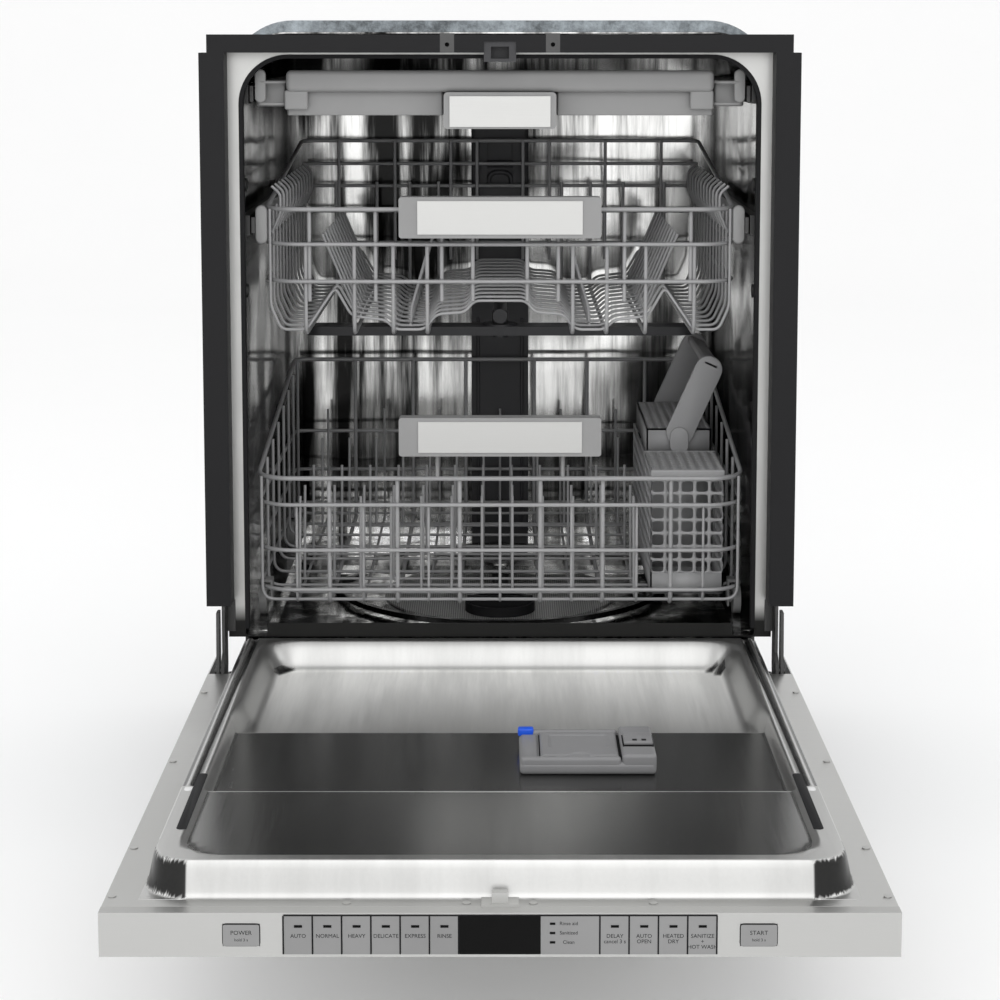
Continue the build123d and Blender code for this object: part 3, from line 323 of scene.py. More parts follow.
def filter_mesh(name, tint):
    """Woven steel cloth: two crossed sine ridges in x and y."""
    material, tree, shader, place = start_material(name)
    ridges = [add(tree, "ShaderNodeTexWave", {"Scale": 130.0, "Vector": place}, wave_type="BANDS",
                  bands_direction=axis).outputs["Fac"] for axis in ("X", "Y")]
    weave = sums(tree, "MULTIPLY", *ridges)
    stops = ((0.0, (0.12, 0.12, 0.12)), (0.5, tint))
    plug(tree, shader, {"Metallic": 0.4, "Roughness": 0.4, "Base Color": ramped(tree, weave, stops),
                        "Normal": bumped(tree, weave, 0.0004)})


# ------------------------------------------------------------------ surface helpers
def ring_faces(rows, columns):
    """Quads between rings of points, each ring closed on itself."""
    i, j = np.meshgrid(np.arange(rows - 1), np.arange(columns), indexing="ij")
    j2 = (j + 1) % columns
    quads = [i * columns + j, i * columns + j2, (i + 1) * columns + j2, (i + 1) * columns + j]
    return np.stack(quads, -1).reshape(-1, 4).tolist()


def capped_faces(rows, columns):
    """Ring faces with the first and the last ring filled."""
    caps = [list(range(columns))[::-1], list(range((rows - 1) * columns, rows * columns))]
    return ring_faces(rows, columns) + caps


def bent_path(points, bend, steps=6):
    """Polyline with each corner replaced by a quadratic curve.

    With P the corner and a, b the unit directions in and out, the curve is
    (1-s)^2 (P - a t) + 2 s (1-s) P + s^2 (P + b t), where t is the bend or 0.45 of a run.
    """
    points = np.asarray(points, float)
    runs = np.diff(points, axis=0)
    sizes = np.linalg.norm(runs, axis=1)
    ways = runs / sizes[:, None]
    reach = np.minimum(bend, 0.45 * np.minimum(sizes[:-1], sizes[1:]))[:, None]
    s = np.linspace(0, 1, steps)[None, :, None]
    corner = points[1:-1][:, None]
    before = corner - (ways[:-1] * reach)[:, None]
    after = corner + (ways[1:] * reach)[:, None]
    curve = (1 - s) ** 2 * before + 2 * s * (1 - s) * corner + s ** 2 * after
    return np.vstack([points[:1], curve.reshape(-1, 3), points[-1:]])


def bar(path, radius, sides):
    """Round bar: path(k) + r (cos t n + sin t b), with n and b square to the path, and closed ends."""
    way = np.gradient(path, axis=0)
    way /= np.linalg.norm(way, axis=1)[:, None]
    axes = np.eye(3)
    side = axes[np.argmin(np.abs(way @ axes.T).max(axis=0))]
    n = np.cross(way, side)
    n /= np.linalg.norm(n, axis=1)[:, None]
    b = np.cross(way, n)
    t = np.linspace(0, 2 * pi, sides, endpoint=False)
    ring = np.cos(t)[None, :, None] * n[:, None] + np.sin(t)[None, :, None] * b[:, None]
    points = (path[:, None] + radius * ring).reshape(-1, 3)
    points = np.vstack([points, path[:1], path[-1:]])
    count = len(path)
    j = np.arange(sides)
    j2 = (j + 1) % sides
    last = (count - 1) * sides
    ends = np.vstack([np.stack([np.full(sides, count * sides), j2, j], 1),
                      np.stack([np.full(sides, count * sides + 1), last + j, last + j2], 1)])
    return points, ring_faces(count, sides) + ends.tolist()


def grid_faces(rows, columns):
    """Quads of a grid of points, in row order."""
    i, j = np.meshgrid(np.arange(rows - 1), np.arange(columns - 1), indexing="ij")
    first = i * columns + j
    return np.stack([first, first + 1, first + columns + 1, first + columns], -1).reshape(-1, 4).tolist()


def join(parts):
    """One list of points and faces from several."""
    points = np.vstack([p for p, _ in parts])
    starts = np.cumsum([0] + [len(p) for p, _ in parts[:-1]])
    faces = [[v + int(start) for v in face] for (_, f), start in zip(parts, starts) for face in f]
    return points, faces


def rounded_block(low, high, radius, steps=4):
    """Box with round edges: a sphere's grid pushed out to the box's inner corners.

    Each point is c + h sign(u) + r u, with u on a sphere and h the half size less r.
    """
    low, high = np.array(low, float), np.array(high, float)
    centre, half = (low + high) / 2, (high - low) / 2
    radius = min(radius, *(half * 0.98))
    quarter = np.linspace(0, pi / 2, steps)
    turn = np.concatenate([quarter + k * pi / 2 for k in range(4)])
    signs = np.repeat([(1, 1), (-1, 1), (-1, -1), (1, -1)], steps, axis=0)
    tilt = np.concatenate([quarter - pi / 2, quarter])
    caps = np.repeat([-1, 1], steps)
    u = np.stack([np.cos(tilt)[:, None] * np.cos(turn), np.cos(tilt)[:, None] * np.sin(turn),
                  np.repeat(np.sin(tilt)[:, None], len(turn), 1)], -1)
    s = np.stack([np.broadcast_to(signs[:, 0], u.shape[:2]), np.broadcast_to(signs[:, 1], u.shape[:2]),
                  np.broadcast_to(caps[:, None], u.shape[:2])], -1)
    points = centre + (half - radius) * s + radius * u
    return points.reshape(-1, 3), capped_faces(*points.shape[:2])


def plate(outline, thick, edge, steps=3):
    """Flat plate with rounded rims: the outline shrunk by edge (1 - sin a) at height edge (1 - cos a).

    The outline is convex, in x and y about the origin; the plate lies on z = 0.
    """
    outline = np.asarray(outline, float)
    size = np.abs(outline).max()
    a = np.linspace(0, pi / 2, steps)
    inset = np.concatenate([edge * (1 - np.sin(a)), edge * (1 - np.sin(a[::-1]))])
    rise = np.concatenate([edge * (1 - np.cos(a)), thick - edge * (1 - np.cos(a[::-1]))])
    rings = outline[None] * (1 - inset[:, None, None] / size)
    points = np.concatenate([rings, np.repeat(rise[:, None, None], len(outline), 1)], -1)
    return points.reshape(-1, 3), capped_faces(*points.shape[:2])


def stadium(width, height, count=20):
    """Outline with two straight sides and two half-round ends, turning anticlockwise."""
    t = np.linspace(-pi / 2, pi / 2, count)
    r = min(width, height) / 2
    if width > height:
        right = np.stack([width / 2 - r + r * np.cos(t), r * np.sin(t)], 1)
        return np.vstack([right, -right])
    top = np.stack([r * np.cos(t + pi / 2), height / 2 - r + r * np.sin(t + pi / 2)], 1)
    return np.vstack([top, -top])


def placed(shape, origin, across, up):
    """The same shape with its x and y along two directions and its z along their cross product."""
    points, faces = shape
    frame_axes = np.array([across, up, np.cross(across, up)], float)
    return points @ frame_axes + np.array(origin, float), faces


def grille(columns, rows, width, height, hole, power, count=24):
    """Flat sheet with a grid of windows, in x and y from the origin.

    Each window is |u|^p + |v|^p = 1 scaled by the hole's share of its cell; the cell's border is the
    same ray pushed out to the square. Points that meet are made one.
    """
    t = np.linspace(0, 2 * pi, count, endpoint=False)
    ray = np.stack([np.cos(t), np.sin(t)], 1)
    window = hole * ray / (np.abs(ray) ** power).sum(1, keepdims=True) ** (1 / power)
    border = ray / np.abs(ray).max(1, keepdims=True)
    cell = np.stack([window, border]) * (width / columns / 2, height / rows / 2)
    middles = np.stack(np.meshgrid((np.arange(columns) + 0.5) * width / columns,
                                   (np.arange(rows) + 0.5) * height / rows), -1).reshape(-1, 1, 1, 2)
    points = (cell[None] + middles).reshape(-1, 2)
    j = np.arange(count)
    j2 = (j + 1) % count
    quads = np.stack([j, count + j, count + j2, j2], 1)
    faces = (quads[None] + (np.arange(columns * rows) * 2 * count)[:, None, None]).reshape(-1, 4)
    spots, back = np.unique(np.round(points / 1e-6), axis=0, return_inverse=True)
    flat = np.concatenate([spots * 1e-6, np.zeros((len(spots), 1))], 1)
    return flat, back.reshape(-1)[faces].tolist()


def sheet(width, height, cells=(2, 2)):
    """Flat rectangle in x and y from the origin."""
    x, y = np.meshgrid(np.linspace(0, width, cells[0]), np.linspace(0, height, cells[1]))
    return np.stack([x, y, 0 * x], -1).reshape(-1, 3), grid_faces(cells[1], cells[0])


def piece(name, shape, finish, body, replaces=(), flat=False, shade=None, skin=0.0):
    """Makes the mesh object, gives it its finish and hands it to its body.

    A skin gives a sheet its thickness; shade is a value per point of painted light and shade for the finish to read.
    """
    points, faces = shape
    mesh = bpy.data.meshes.new(name)
    mesh.from_pydata(np.asarray(points).tolist(), [], faces)
    # The shade attribute holds painted light and shade, one value per point.
    if shade is not None:
        layer = mesh.attributes.new("shade", "FLOAT", "POINT")
        layer.data.foreach_set("value", np.ascontiguousarray(shade, np.float32).ravel())
    mesh.validate()
    if not flat:
        mesh.shade_smooth()
        mesh.set_sharp_from_angle(angle=radians(40))
    mesh.materials.append(bpy.data.materials[finish])
    thing = bpy.data.objects.new(name, mesh)
    bpy.context.scene.collection.objects.link(thing)
    if skin:
        wall = thing.modifiers.new("sheet", "SOLIDIFY")
        wall.thickness = skin
        wall.offset = -1
    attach(thing, body)
    if replaces:
        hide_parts(*replaces)
    return thing


def settings():
    """The scene's dishwasher settings."""
    return bpy.context.scene.dishwasher


# ------------------------------------------------------------------ operators
class DISHWASHER_OT_finishes(bpy.types.Operator):
    """Make the shared grain groups, the painted reflection group and every finish, and give them to the frame's nodes
    """
    bl_idname = "dishwasher.finishes"
    bl_label = "Finishes"

    def execute(self, context):
        brushed_group()
        painted_reflection_group()
        moulded_group()
        tint = settings().finish
        # Painted reflection: the streaks of the polished tub steel.
        tub = steel("polished steel", tint.steel, 0.08, 0.14, (1, 1, 1), 0.02, 0.006, ((11, 11, 0.7), 0.02, 1.25))
        # Painted shade: the tub's side walls, past 0.264 in |x|, darkened to 0.12 of the colour.
        fade(tub, "X", 0.250, 0.264, 1.0, 0.12)
        # Painted light: the tub's floor, below 0.219 in |z|, brightened to 2.4 times the colour.
        fade(tub, "Z", 0.219, 0.260, 2.4, 1.0)
        # The liner steel's colour is scaled by the painted light and shade in the shade attribute; its streaks are
        # painted reflections.
        steel("liner steel", tint.steel, 0.17, 0.24, (12.0, 0.6, 12), 0.0, 0.0002, ((6, 0.5, 1), 0.93, 1.06), "shade")
        steel("frame steel", tint.panel, 0.28, 0.42, (1, 40, 1), 0.05)
        front = steel("front frame steel", tint.panel, 0.3, 0.42, (1, 40, 1), 0.05)
        # Painted shade: the front frame below 0.245 in |z| darkened to 0.05 of the colour.
        fade(front, "Z", 0.245, 0.262, 0.05, 1.0)
        steel("fascia steel", tint.panel, 0.36, 0.5, (1, 80, 80), 0.15)
        steel("button steel", (0.30, 0.30, 0.30), 0.4, 0.5, (1, 80, 80), 0.1)
        steel("inlay steel", tint.inlay, 0.32, 0.46, (1, 80, 80), 0.15)
        steel("zinc plate", tint.zinc, 0.3, 0.5, (30, 30, 30), 0.3)
        # Painted reflection: the streaks of the spray steel.
        steel("spray steel", tint.panel, 0.16, 0.3, (20, 20, 20), 0.1, 0.0, ((9, 9, 9), 0.1, 1.2))
        steel("heater steel", (0.03, 0.03, 0.03), 0.14, 0.28, (20, 20, 20), 0.1)
        # Painted reflection: the streaks of the lower spray arm's steel.
        steel("arm steel", tint.steel, 0.12, 0.22, (8, 8, 8), 0.1, 0.0, ((12, 2, 9), 0.15, 1.4))
        filter_mesh("filter cloth", tint.steel)
        plastic("black trim", tint.black, 0.5, 900.0, 0.0001, 0.2)
        plastic("seal rubber", tint.black, 0.6, 500.0, 0.0001, 0.2)
        plastic("dark plastic", tint.dark, 0.42, shine=0.3)
        plastic("grey plastic", tint.grey, 0.4, shine=0.4)
        plastic("dispenser plastic", tint.dispenser, 0.36, shine=0.4)
        plastic("basket plastic", tint.basket, 0.42, shine=0.4)
        plastic("key film", (0.235, 0.235, 0.235), 0.45, 2000.0, 0.00002, 0.3)
        plastic("display glass", (0.002, 0.002, 0.002), 0.2, 200.0, 0.0, 0.1)
        plastic("wire coat", tint.wire, 0.26, 600.0, 0.00003)
        plastic("white plastic", (0.7, 0.7, 0.7), 0.4)
        plastic("print", (0.008, 0.008, 0.009), 0.6, shine=0.1)
        plastic("blue tab", tint.blue, 0.3)
        felt("felt blanket", tint.felt)
        finishes = {
            "stainless": "polished steel", "frame_steel": "frame steel", "fascia_steel": "fascia steel",
            "inlay_steel": "inlay steel", "black_plastic": "black trim", "dark_plastic": "dark plastic",
            "grey_plastic": "grey plastic", "basket_plastic": "basket plastic", "coated_wire": "wire coat",
            "rubber": "seal rubber", "blanket": "felt blanket", "galvanised": "zinc plate",
            "key_plastic": "key film", "display_glass": "display glass", "spray_steel": "spray steel",
            "heater_metal": "heater steel",
        }
        for part in frame["record"]["subparts"]:
            mesh = frame["nodes"][part["node"]].data
            mesh.materials.clear()
            mesh.materials.append(bpy.data.materials[finishes[part["material_slot"]]])
        own = {
            "filter_plate": "filter cloth", "front_frame": "front frame steel", "lower_spray_arm": "arm steel",
            "dispenser_body": "dispenser plastic", "detergent_lid": "dispenser plastic",
            "rinse_aid_cap": "dispenser plastic", "power_button": "button steel", "start_button": "button steel",
        }
        for node, finish in own.items():
            frame["nodes"][node].data.materials[0] = bpy.data.materials[finish]
        return {"FINISHED"}


def loop(half, y0, y1, z0, z1, chamfer):
    """Rim path that starts and ends behind, with bent front corners and a rise to the back."""
    return [(0, y1, z1), (half, y1, z1), (half, y0 + chamfer, z0), (half - chamfer, y0, z0),
            (-half + chamfer, y0, z0), (-half, y0 + chamfer, z0), (-half, y1, z1), (0, y1, z1)]


class DISHWASHER_OT_lower_rack(bpy.types.Operator):
    """Lower rack of bent wires: rims, floor hoops both ways and rows of plate tines"""
    bl_idname = "dishwasher.lower_rack"
    bl_label = "Lower rack"

    def execute(self, context):
        wire = settings().wires
        r, thin, bend = wire.thick, wire.thin, wire.bend
        half = LOWER_HIGH[0] - r
        y0, y1 = LOWER_LOW[1] + r, LOWER_HIGH[1] - r
        floor = LOWER_LOW[2] + r + 2 * r
        top = floor + 130 * MM
        back = LOWER_HIGH[2] - r
        chamfer = 22 * MM
        bars = [bar(bent_path(loop(half, y0, y1, top, back, chamfer), bend), r * 1.2, wire.sides)]
        for z in (floor + 12 * MM, floor + 54 * MM, top - 28 * MM):
            bars.append(bar(bent_path(loop(half, y0, y1, z, z, chamfer), bend), r, wire.sides))
        inner = 2 * r
        for x in (-0.178, -0.107, -0.042, 0.042, 0.107, 0.178):
            hoop = [(x, y0 + inner, top), (x, y0 + inner, floor - inner), (x, y1 - inner, floor - inner),
                    (x, y1 - inner, back)]
            bars.append(bar(bent_path(hoop, bend), r * 1.1, wire.sides))
        for x in (-0.212, -0.1425, -0.0745, 0, 0.0745, 0.1425, 0.212):
            hoop = [(x, y0 + inner, top - 28 * MM), (x, y0 + inner, floor - inner + 1 * MM),
                    (x, y1 - inner, floor - inner + 1 * MM), (x, y1 - inner, top)]
            bars.append(bar(bent_path(hoop, bend), thin, wire.sides))
        edge = half - inner
        for y in np.linspace(y0 + 2 * inner, y1 - 2 * inner, 8):
            rise = top + (y - y0) / (y1 - y0) * (back - top)
            hoop = [(-edge, y, rise), (-edge, y, floor), (edge, y, floor), (edge, y, rise)]
            bars.append(bar(bent_path(hoop, bend), thin * 1.15, wire.sides))
        low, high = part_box("lower_fold_tines")
        lean = 14 * MM
        for offset in (24, 84, 200):
            y = y0 + offset * MM
            z = floor + r + thin
            bars.append(bar(np.array([(low[0], y, z), (0, y, z), (high[0], y, z)]), thin, wire.sides))
            for x in np.arange(low[0] + 6 * MM, high[0], 32 * MM):
                tine = [(x, y, z), (x, y + lean * 0.3, z + 40 * MM), (x, y + lean, z + 100 * MM)]
                bars.append(bar(bent_path(tine, 30 * MM), thin, 8))
        piece("lower_rack_wires", join(bars), "wire coat", "lower_rack", ["lower_rack_basket"])
        return {"FINISHED"}


class DISHWASHER_OT_upper_rack(bpy.types.Operator):
    """Upper rack of bent wires: rims, shaped floor hoops, long floor wires and tines"""
    bl_idname = "dishwasher.upper_rack"
    bl_label = "Upper rack"

    def execute(self, context):
        wire = settings().wires
        r, thin, bend = wire.thick, wire.thin, wire.bend
        half = UPPER_HIGH[0] - r
        y0, y1 = UPPER_LOW[1] + r, UPPER_HIGH[1] - r
        low = UPPER_LOW[2] + r + 2 * r
        rim = low + 125 * MM
        back = UPPER_HIGH[2] - r
        chamfer = 22 * MM
        bars = [bar(bent_path(loop(half, y0, y1, rim, back, chamfer), bend), r * 1.15, wire.sides)]
        for z in (low + 50.6 * MM, low + 89 * MM):
            bars.append(bar(bent_path(loop(half, y0, y1, z, z, chamfer), bend), r, wire.sides))
        inner = 2 * r
        edge = half - inner
        profile = [(edge, rim - low), (edge, 0.024), (0.226, 0.0), (0.200, 0.0), (0.170, 0.044), (0.153, 0.014),
                   (0.118, 0.010), (0.108, 0.0), (0.078, 0.0), (0.066, 0.016), (0.036, 0.018), (0.027, 0.030)]
        left = [(-x, z) for x, z in reversed(profile)]
        for y in np.linspace(y0 + 2 * inner, y1 - 2 * inner, 13):
            hoop = [(x, y, low + z) for x, z in profile + left]
            bars.append(bar(bent_path(hoop, 7 * MM), thin, wire.sides))
        for z in (rim - 5 * MM, rim + 22 * MM):
            bars.append(bar(np.array([(-half, y1, z), (0, y1, z), (half, y1, z)]), r, wire.sides))
        for side in (-1, 1):
            for y in np.linspace(y0 + 30 * MM, y1 - 20 * MM, 12):
                kink = [(side * edge, y, rim - 26 * MM), (side * (edge - 9 * MM), y, rim - 6 * MM),
                        (side * (edge - 9 * MM), y, rim + 14 * MM), (side * edge, y, rim + 22 * MM)]
                bars.append(bar(bent_path(kink, 5 * MM), thin, 8))
        for x in (0.075, 0.11, 0.15, 0.2):
            for side in (-1, 1):
                hoop = [(side * x, y0 + inner, rim - 36 * MM), (side * x, y0 + inner, low - inner),
                        (side * x, y1 - inner, low - inner), (side * x, y1 - inner, rim)]
                bars.append(bar(bent_path(hoop, bend), r, wire.sides))
        for x in (0.028, 0.06, 0.128, 0.196):
            for side in (-1, 1):
                for y, z in ((y0 + inner, rim), (y1 - inner, back)):
                    post = np.array([(side * x, y, low + 0.03), (side * x, y, low + 0.07), (side * x, y, z)])
                    bars.append(bar(post, r, wire.sides))
        for side in (-1, 1):
            z = low + r + thin
            x = side * 93 * MM
            run = np.array([(x, y0 + 20 * MM, z), (x, 0.3, z), (x, y1 - 20 * MM, z)])
            bars.append(bar(run, thin, wire.sides))
            for y in np.arange(y0 + 36 * MM, y1 - 40 * MM, 32 * MM):
                tine = [(x, y, z), (x, y, z + 14 * MM), (x - side * 16 * MM, y, z + 70 * MM)]
                bars.append(bar(bent_path(tine, 9 * MM), thin, 8))
        piece("upper_rack_wires", join(bars), "wire coat", "upper_rack", ["upper_rack_basket"])
        return {"FINISHED"}


def inside(x, y, low, high, corner, soft):
    """Ramp from 0 outside a rounded rectangle to 1 inside, a half cosine over the wall's width."""
    cx, cy = (low[0] + high[0]) / 2, (low[1] + high[1]) / 2
    hx, hy = (high[0] - low[0]) / 2 - corner, (high[1] - low[1]) / 2 - corner
    qx, qy = np.abs(x - cx) - hx, np.abs(y - cy) - hy
    gap = np.hypot(np.maximum(qx, 0), np.maximum(qy, 0)) + np.minimum(np.maximum(qx, qy), 0) - corner
    share = np.clip(-gap / soft, 0, 1)
    return (1 - np.cos(pi * share)) / 2


def dense(low, high, count, marks, reach, extra=9):
    """Grid lines with extra ones near each mark."""
    lines = [np.linspace(low, high, count)]
    lines += [np.linspace(m - reach, m + reach, extra) for m in marks]
    lines = np.concatenate(lines)
    lines = np.sort(lines[(lines >= low) & (lines <= high)])
    return lines[np.concatenate([[True], np.diff(lines) > 0.0004])]


class DISHWASHER_OT_door_liner(bpy.types.Operator):
    """Pressed steel liner: flange, raised plateau with three stepped zones and wheel grooves, with painted light and
    shade per point
    """
    bl_idname = "dishwasher.door_liner"
    bl_label = "Door liner"

    def execute(self, context):
        door = settings().door
        top, near, far = LINER_HIGH[2], LINER_LOW[1], LINER_HIGH[1]
        flange = FASCIA_HIGH[2]
        edge = TUB_HIGH[0] + 4.8 * MM
        end = near + 14 * MM
        reach = far - near
        step_b = far - 26 * MM - 0.37 * reach
        step_c = far - 26 * MM - 0.67 * reach
        marks = (-0.271, -0.262, -0.250, -0.238, 0.238, 0.250, 0.262, 0.271)
        xs = dense(-edge, edge, 70, marks, 8 * MM, 11)
        ys = dense(end, far, 70, (end + 6 * MM, end + 24 * MM, step_b, step_c, far - 16 * MM), 8 * MM, 15)
        x, y = np.meshgrid(xs, ys)
        rise = inside(x, y, (-edge, end), (edge, far + 0.1), door.corner, door.wall)
        flare = 1 + 0.005 * (far - y) / reach
        down_c = np.clip((y - step_c) / door.step + 0.5, 0, 1)
        down_b = np.clip((y - step_b) / door.step + 0.5, 0, 1)
        depth = door.shallow + (door.middle - door.shallow) * (3 * down_c ** 2 - 2 * down_c ** 3)
        depth = depth + (door.deep - door.middle) * (3 * down_b ** 2 - 2 * down_b ** 3)
        wall = 7 * MM + 16 * MM * np.clip((y - step_b) / 0.05, 0, 1)
        pan = inside(x, y, (-0.247, end + 18 * MM), (0.247, far - 6 * MM), 40 * MM, wall)
        z = flange + (top - flange) * rise - depth * pan
        along = inside(x, y, (-1, step_c), (1, far + 0.1), 1 * MM, 6 * MM)
        side = np.abs(x)
        groove = (np.exp(-((side - 0.2525) / 0.0028) ** 4) + np.exp(-((side - 0.2615) / 0.0022) ** 4)) * along
        z = z - 1.8 * MM * groove * rise
        inner = pan > 0.985
        # Painted light and shade per point. The plateau is at 0.85. The far zone is bright, fading towards the
        # middle. The middle zone is dark. The near zone is dark and lighter in its middle, as the pressed steel
        # mirrors its surroundings.
        shade = 0.85 + 0 * z
        zone_a = 1.6 - 0.6 * np.clip((far - 0.03 - y) / (far - 0.03 - step_b), 0, 1)
        zone_b = 0.30 + 0.05 * np.cos(x * 30)
        zone_c = 0.30 + 0.30 * np.exp(-(x / 0.11) ** 2) + 0.1 * (y - end) / (step_c - end)
        zone = np.where(y > step_b, zone_a, np.where(y > step_c, zone_b, zone_c))
        shade = np.where(inner, zone, shade)
        # Painted highlights along the two steps between zones.
        step_highlight = sum(np.exp(-((y - step + 3 * MM) / (2.2 * MM)) ** 2) for step in (step_b, step_c))
        shade = shade + 0.8 * step_highlight * inner
        # Painted dark reflections on the plateau's walls at the near corners.
        shade = np.where((rise > 0.03) & (rise < 0.97) & (side > 0.235) & (y < end + 50 * MM), 0.06, shade)
        # Painted shade: a dark line at the foot of the far wall, and darkening in the wheel grooves.
        crease_shade = (pan > 0.93) & (pan < 0.992) & (y > far - 0.045)
        shade = np.where(crease_shade, 0.15, shade) * (1 - 0.9 * groove)
        shape = np.stack([x * flare, y, z], -1).reshape(-1, 3), grid_faces(len(ys), len(xs))
        piece("door_liner_pressing", shape, "liner steel", "door", ["door_inner_liner"],
              shade=shade, skin=0.8 * MM)
        half = FASCIA_HIGH[0]
        frame_y = near + 0.5 * MM
        rim = rounded_block((-half, frame_y, flange - 1.2 * MM), (half, far - 34 * MM, flange - 0.1 * MM),
                            0.5 * MM, 3)
        piece("door_flange", rim, "frame steel", "door")
        slots, nubs = [], []
        for sign in (-1, 1):
            slot = plate(stadium(8 * MM, 0.137), 0.8 * MM, 0.3 * MM)
            slots.append(placed(slot, (sign * 0.250, step_c - 35 * MM, top - 0.6 * MM), (1, 0, 0), (0, 1, 0)))
            nub = plate(stadium(7 * MM, 12 * MM), 3 * MM, 1.2 * MM)
            nubs.append(placed(nub, (sign * 0.2575, step_c - 6 * MM, top - 2.8 * MM), (1, 0, 0), (0, 1, 0)))
        # Painted shade: thin black plates stand for the dark channels beside the wheel grooves.
        piece("liner_slot_shade", join(slots), "seal rubber", "door")
        piece("liner_nubs", join(nubs), "white plastic", "door")
        return {"FINISHED"}


class DISHWASHER_OT_dispenser(bpy.types.Operator):
    """Detergent dispenser: bezel, sliding lid with a thumb notch, rinse aid tank with its flap, blue tab"""
    bl_idname = "dishwasher.dispenser"
    bl_label = "Dispenser"

    def execute(self, context):
        low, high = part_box("dispenser_body")
        lid_low, lid_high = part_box("detergent_lid")
        cap_low, cap_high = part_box("rinse_aid_cap")
        rail = lid_high[2] + 0.2 * MM
        split = lid_high[0] + 1.5 * MM
        gap = 1 * MM
        grey = [rounded_block(low, (high[0], high[1], rail - 4 * MM), 4 * MM, 5)]
        for y0, y1 in ((low[1] + 0.5 * MM, lid_low[1] - gap), (lid_high[1] + gap, high[1] - 0.5 * MM)):
            grey.append(rounded_block((low[0] + 1 * MM, y0, low[2] + 3 * MM), (split, y1, rail), 2.5 * MM, 4))
        grey.append(rounded_block((low[0] + 1 * MM, low[1] + 2 * MM, low[2] + 3 * MM),
                                  (lid_low[0] - gap, high[1] - 2 * MM, lid_low[2] - 0.4 * MM), 2.5 * MM, 4))
        grey.append(rounded_block((split + gap, low[1] + 0.5 * MM, low[2] + 3 * MM), high, 3 * MM, 5))
        piece("dispenser_shell", join(grey), "dispenser plastic", "door", ["dispenser_body"])
        dark = [rounded_block((lid_low[0] - gap, lid_low[1] - gap, rail - 3.9 * MM),
                              (split + gap, lid_high[1] + gap, rail - 3.7 * MM), 0.1 * MM, 2),
                rounded_block((cap_low[0] - 1 * MM, cap_low[1] - 2 * MM, high[2] - 0.2 * MM),
                              (cap_high[0] + 1 * MM, cap_high[1] + 2 * MM, high[2] + 0.15 * MM), 0.1 * MM, 2)]
        piece("dispenser_gaps", join(dark), "seal rubber", "door")
        tab = rounded_block((low[0] - 1 * MM, lid_high[1] + 0.6 * MM, rail - 5 * MM),
                            (low[0] + 13 * MM, high[1] + 0.5 * MM, rail + 2 * MM), 1.5 * MM, 4)
        piece("lid_release_tab", tab, "blue tab", "door")
        self.lid(lid_low, lid_high)
        flap = rounded_block(cap_low, cap_high, 1 * MM, 4)
        piece("rinse_flap", flap, "dispenser plastic", "rinse_aid_cap", ["rinse_aid_cap"])
        marks = []
        for x in (0.3, 0.62):
            left = cap_low[0] + x * (cap_high[0] - cap_low[0])
            marks.append(rounded_block((left, cap_low[1] + 3 * MM, cap_high[2] - 0.1 * MM),
                                       (left + 4 * MM, cap_low[1] + 8 * MM, cap_high[2] + 0.1 * MM), 0.1 * MM, 2))
        piece("rinse_flap_slots", join(marks), "seal rubber", "rinse_aid_cap")
        return {"FINISHED"}

    def lid(self, low, high):
        """Lid as a height map: a sunk rectangle at the back and a round thumb notch at the front.

        The surface stays a skin above the CAD lid's underside, so that the lid clears the rail it slides over.
        """
        xs = dense(low[0], high[0], 50, (low[0] + 8 * MM, high[0] - 8 * MM), 2 * MM, 7)
        ys = dense(low[1], high[1], 50, (low[1] + 22 * MM, high[1] - 8 * MM), 2 * MM, 7)
        x, y = np.meshgrid(xs, ys)
        sunk = inside(x, y, (low[0] + 8 * MM, low[1] + 22 * MM), (high[0] - 8 * MM, high[1] - 8 * MM), 3 * MM, 1 * MM)
        middle = (low[0] + high[0]) / 2
        notch = np.clip(1 - np.hypot(x - middle, y - low[1]) / (9 * MM), 0, 1)
        edge = 1 - inside(x, y, low[:2], high[:2], 3 * MM, 1.5 * MM)
        z = high[2] - 1.0 * MM * sunk - 3.2 * MM * np.clip(notch * 3, 0, 1) - 1.2 * MM * edge
        skin = 1 * MM
        z = np.clip(z, low[2] + skin + 0.15 * MM, high[2])
        shape = np.stack([x, y, z], -1).reshape(-1, 3), grid_faces(len(ys), len(xs))
        piece("sliding_lid", shape, "dispenser plastic", "detergent_lid", ["detergent_lid"],
              skin=skin)


class DISHWASHER_OT_docking(bpy.types.Operator):
    """Docking port on the feed duct: a bent double hoop in a flared housing, and ribs down the duct"""
    bl_idname = "dishwasher.docking"
    bl_label = "Docking port"

    def execute(self, context):
        low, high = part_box("feed_duct")
        face = low[1] + 6 * MM
        parts = []
        for half, top, radius in ((0.024, 0.690, 0.0045), (0.014, 0.680, 0.003)):
            hoop = [(-half, face, 0.618), (-half, face - 2 * MM, top), (half, face - 2 * MM, top),
                    (half, face, 0.618)]
            parts.append(bar(bent_path(hoop, 12 * MM, 8), radius, 12))
        for side in (-1, 1):
            cheek = rounded_block((side * 0.030 - 5 * MM, face - 2 * MM, 0.640),
                                  (side * 0.030 + 5 * MM, high[1], 0.735), 3 * MM, 4)
            parts.append(cheek)
            rib = rounded_block((side * 0.027 - 2 * MM, face - 1 * MM, low[2] + 20 * MM),
                                (side * 0.027 + 2 * MM, high[1], 0.5), 1.5 * MM, 4)
            parts.append(rib)
        parts.append(rounded_block((-0.034, face - 2 * MM, 0.735), (0.034, high[1], 0.747), 4 * MM, 4))
        piece("docking_port", join(parts), "dark plastic", "cabinet")
        return {"FINISHED"}


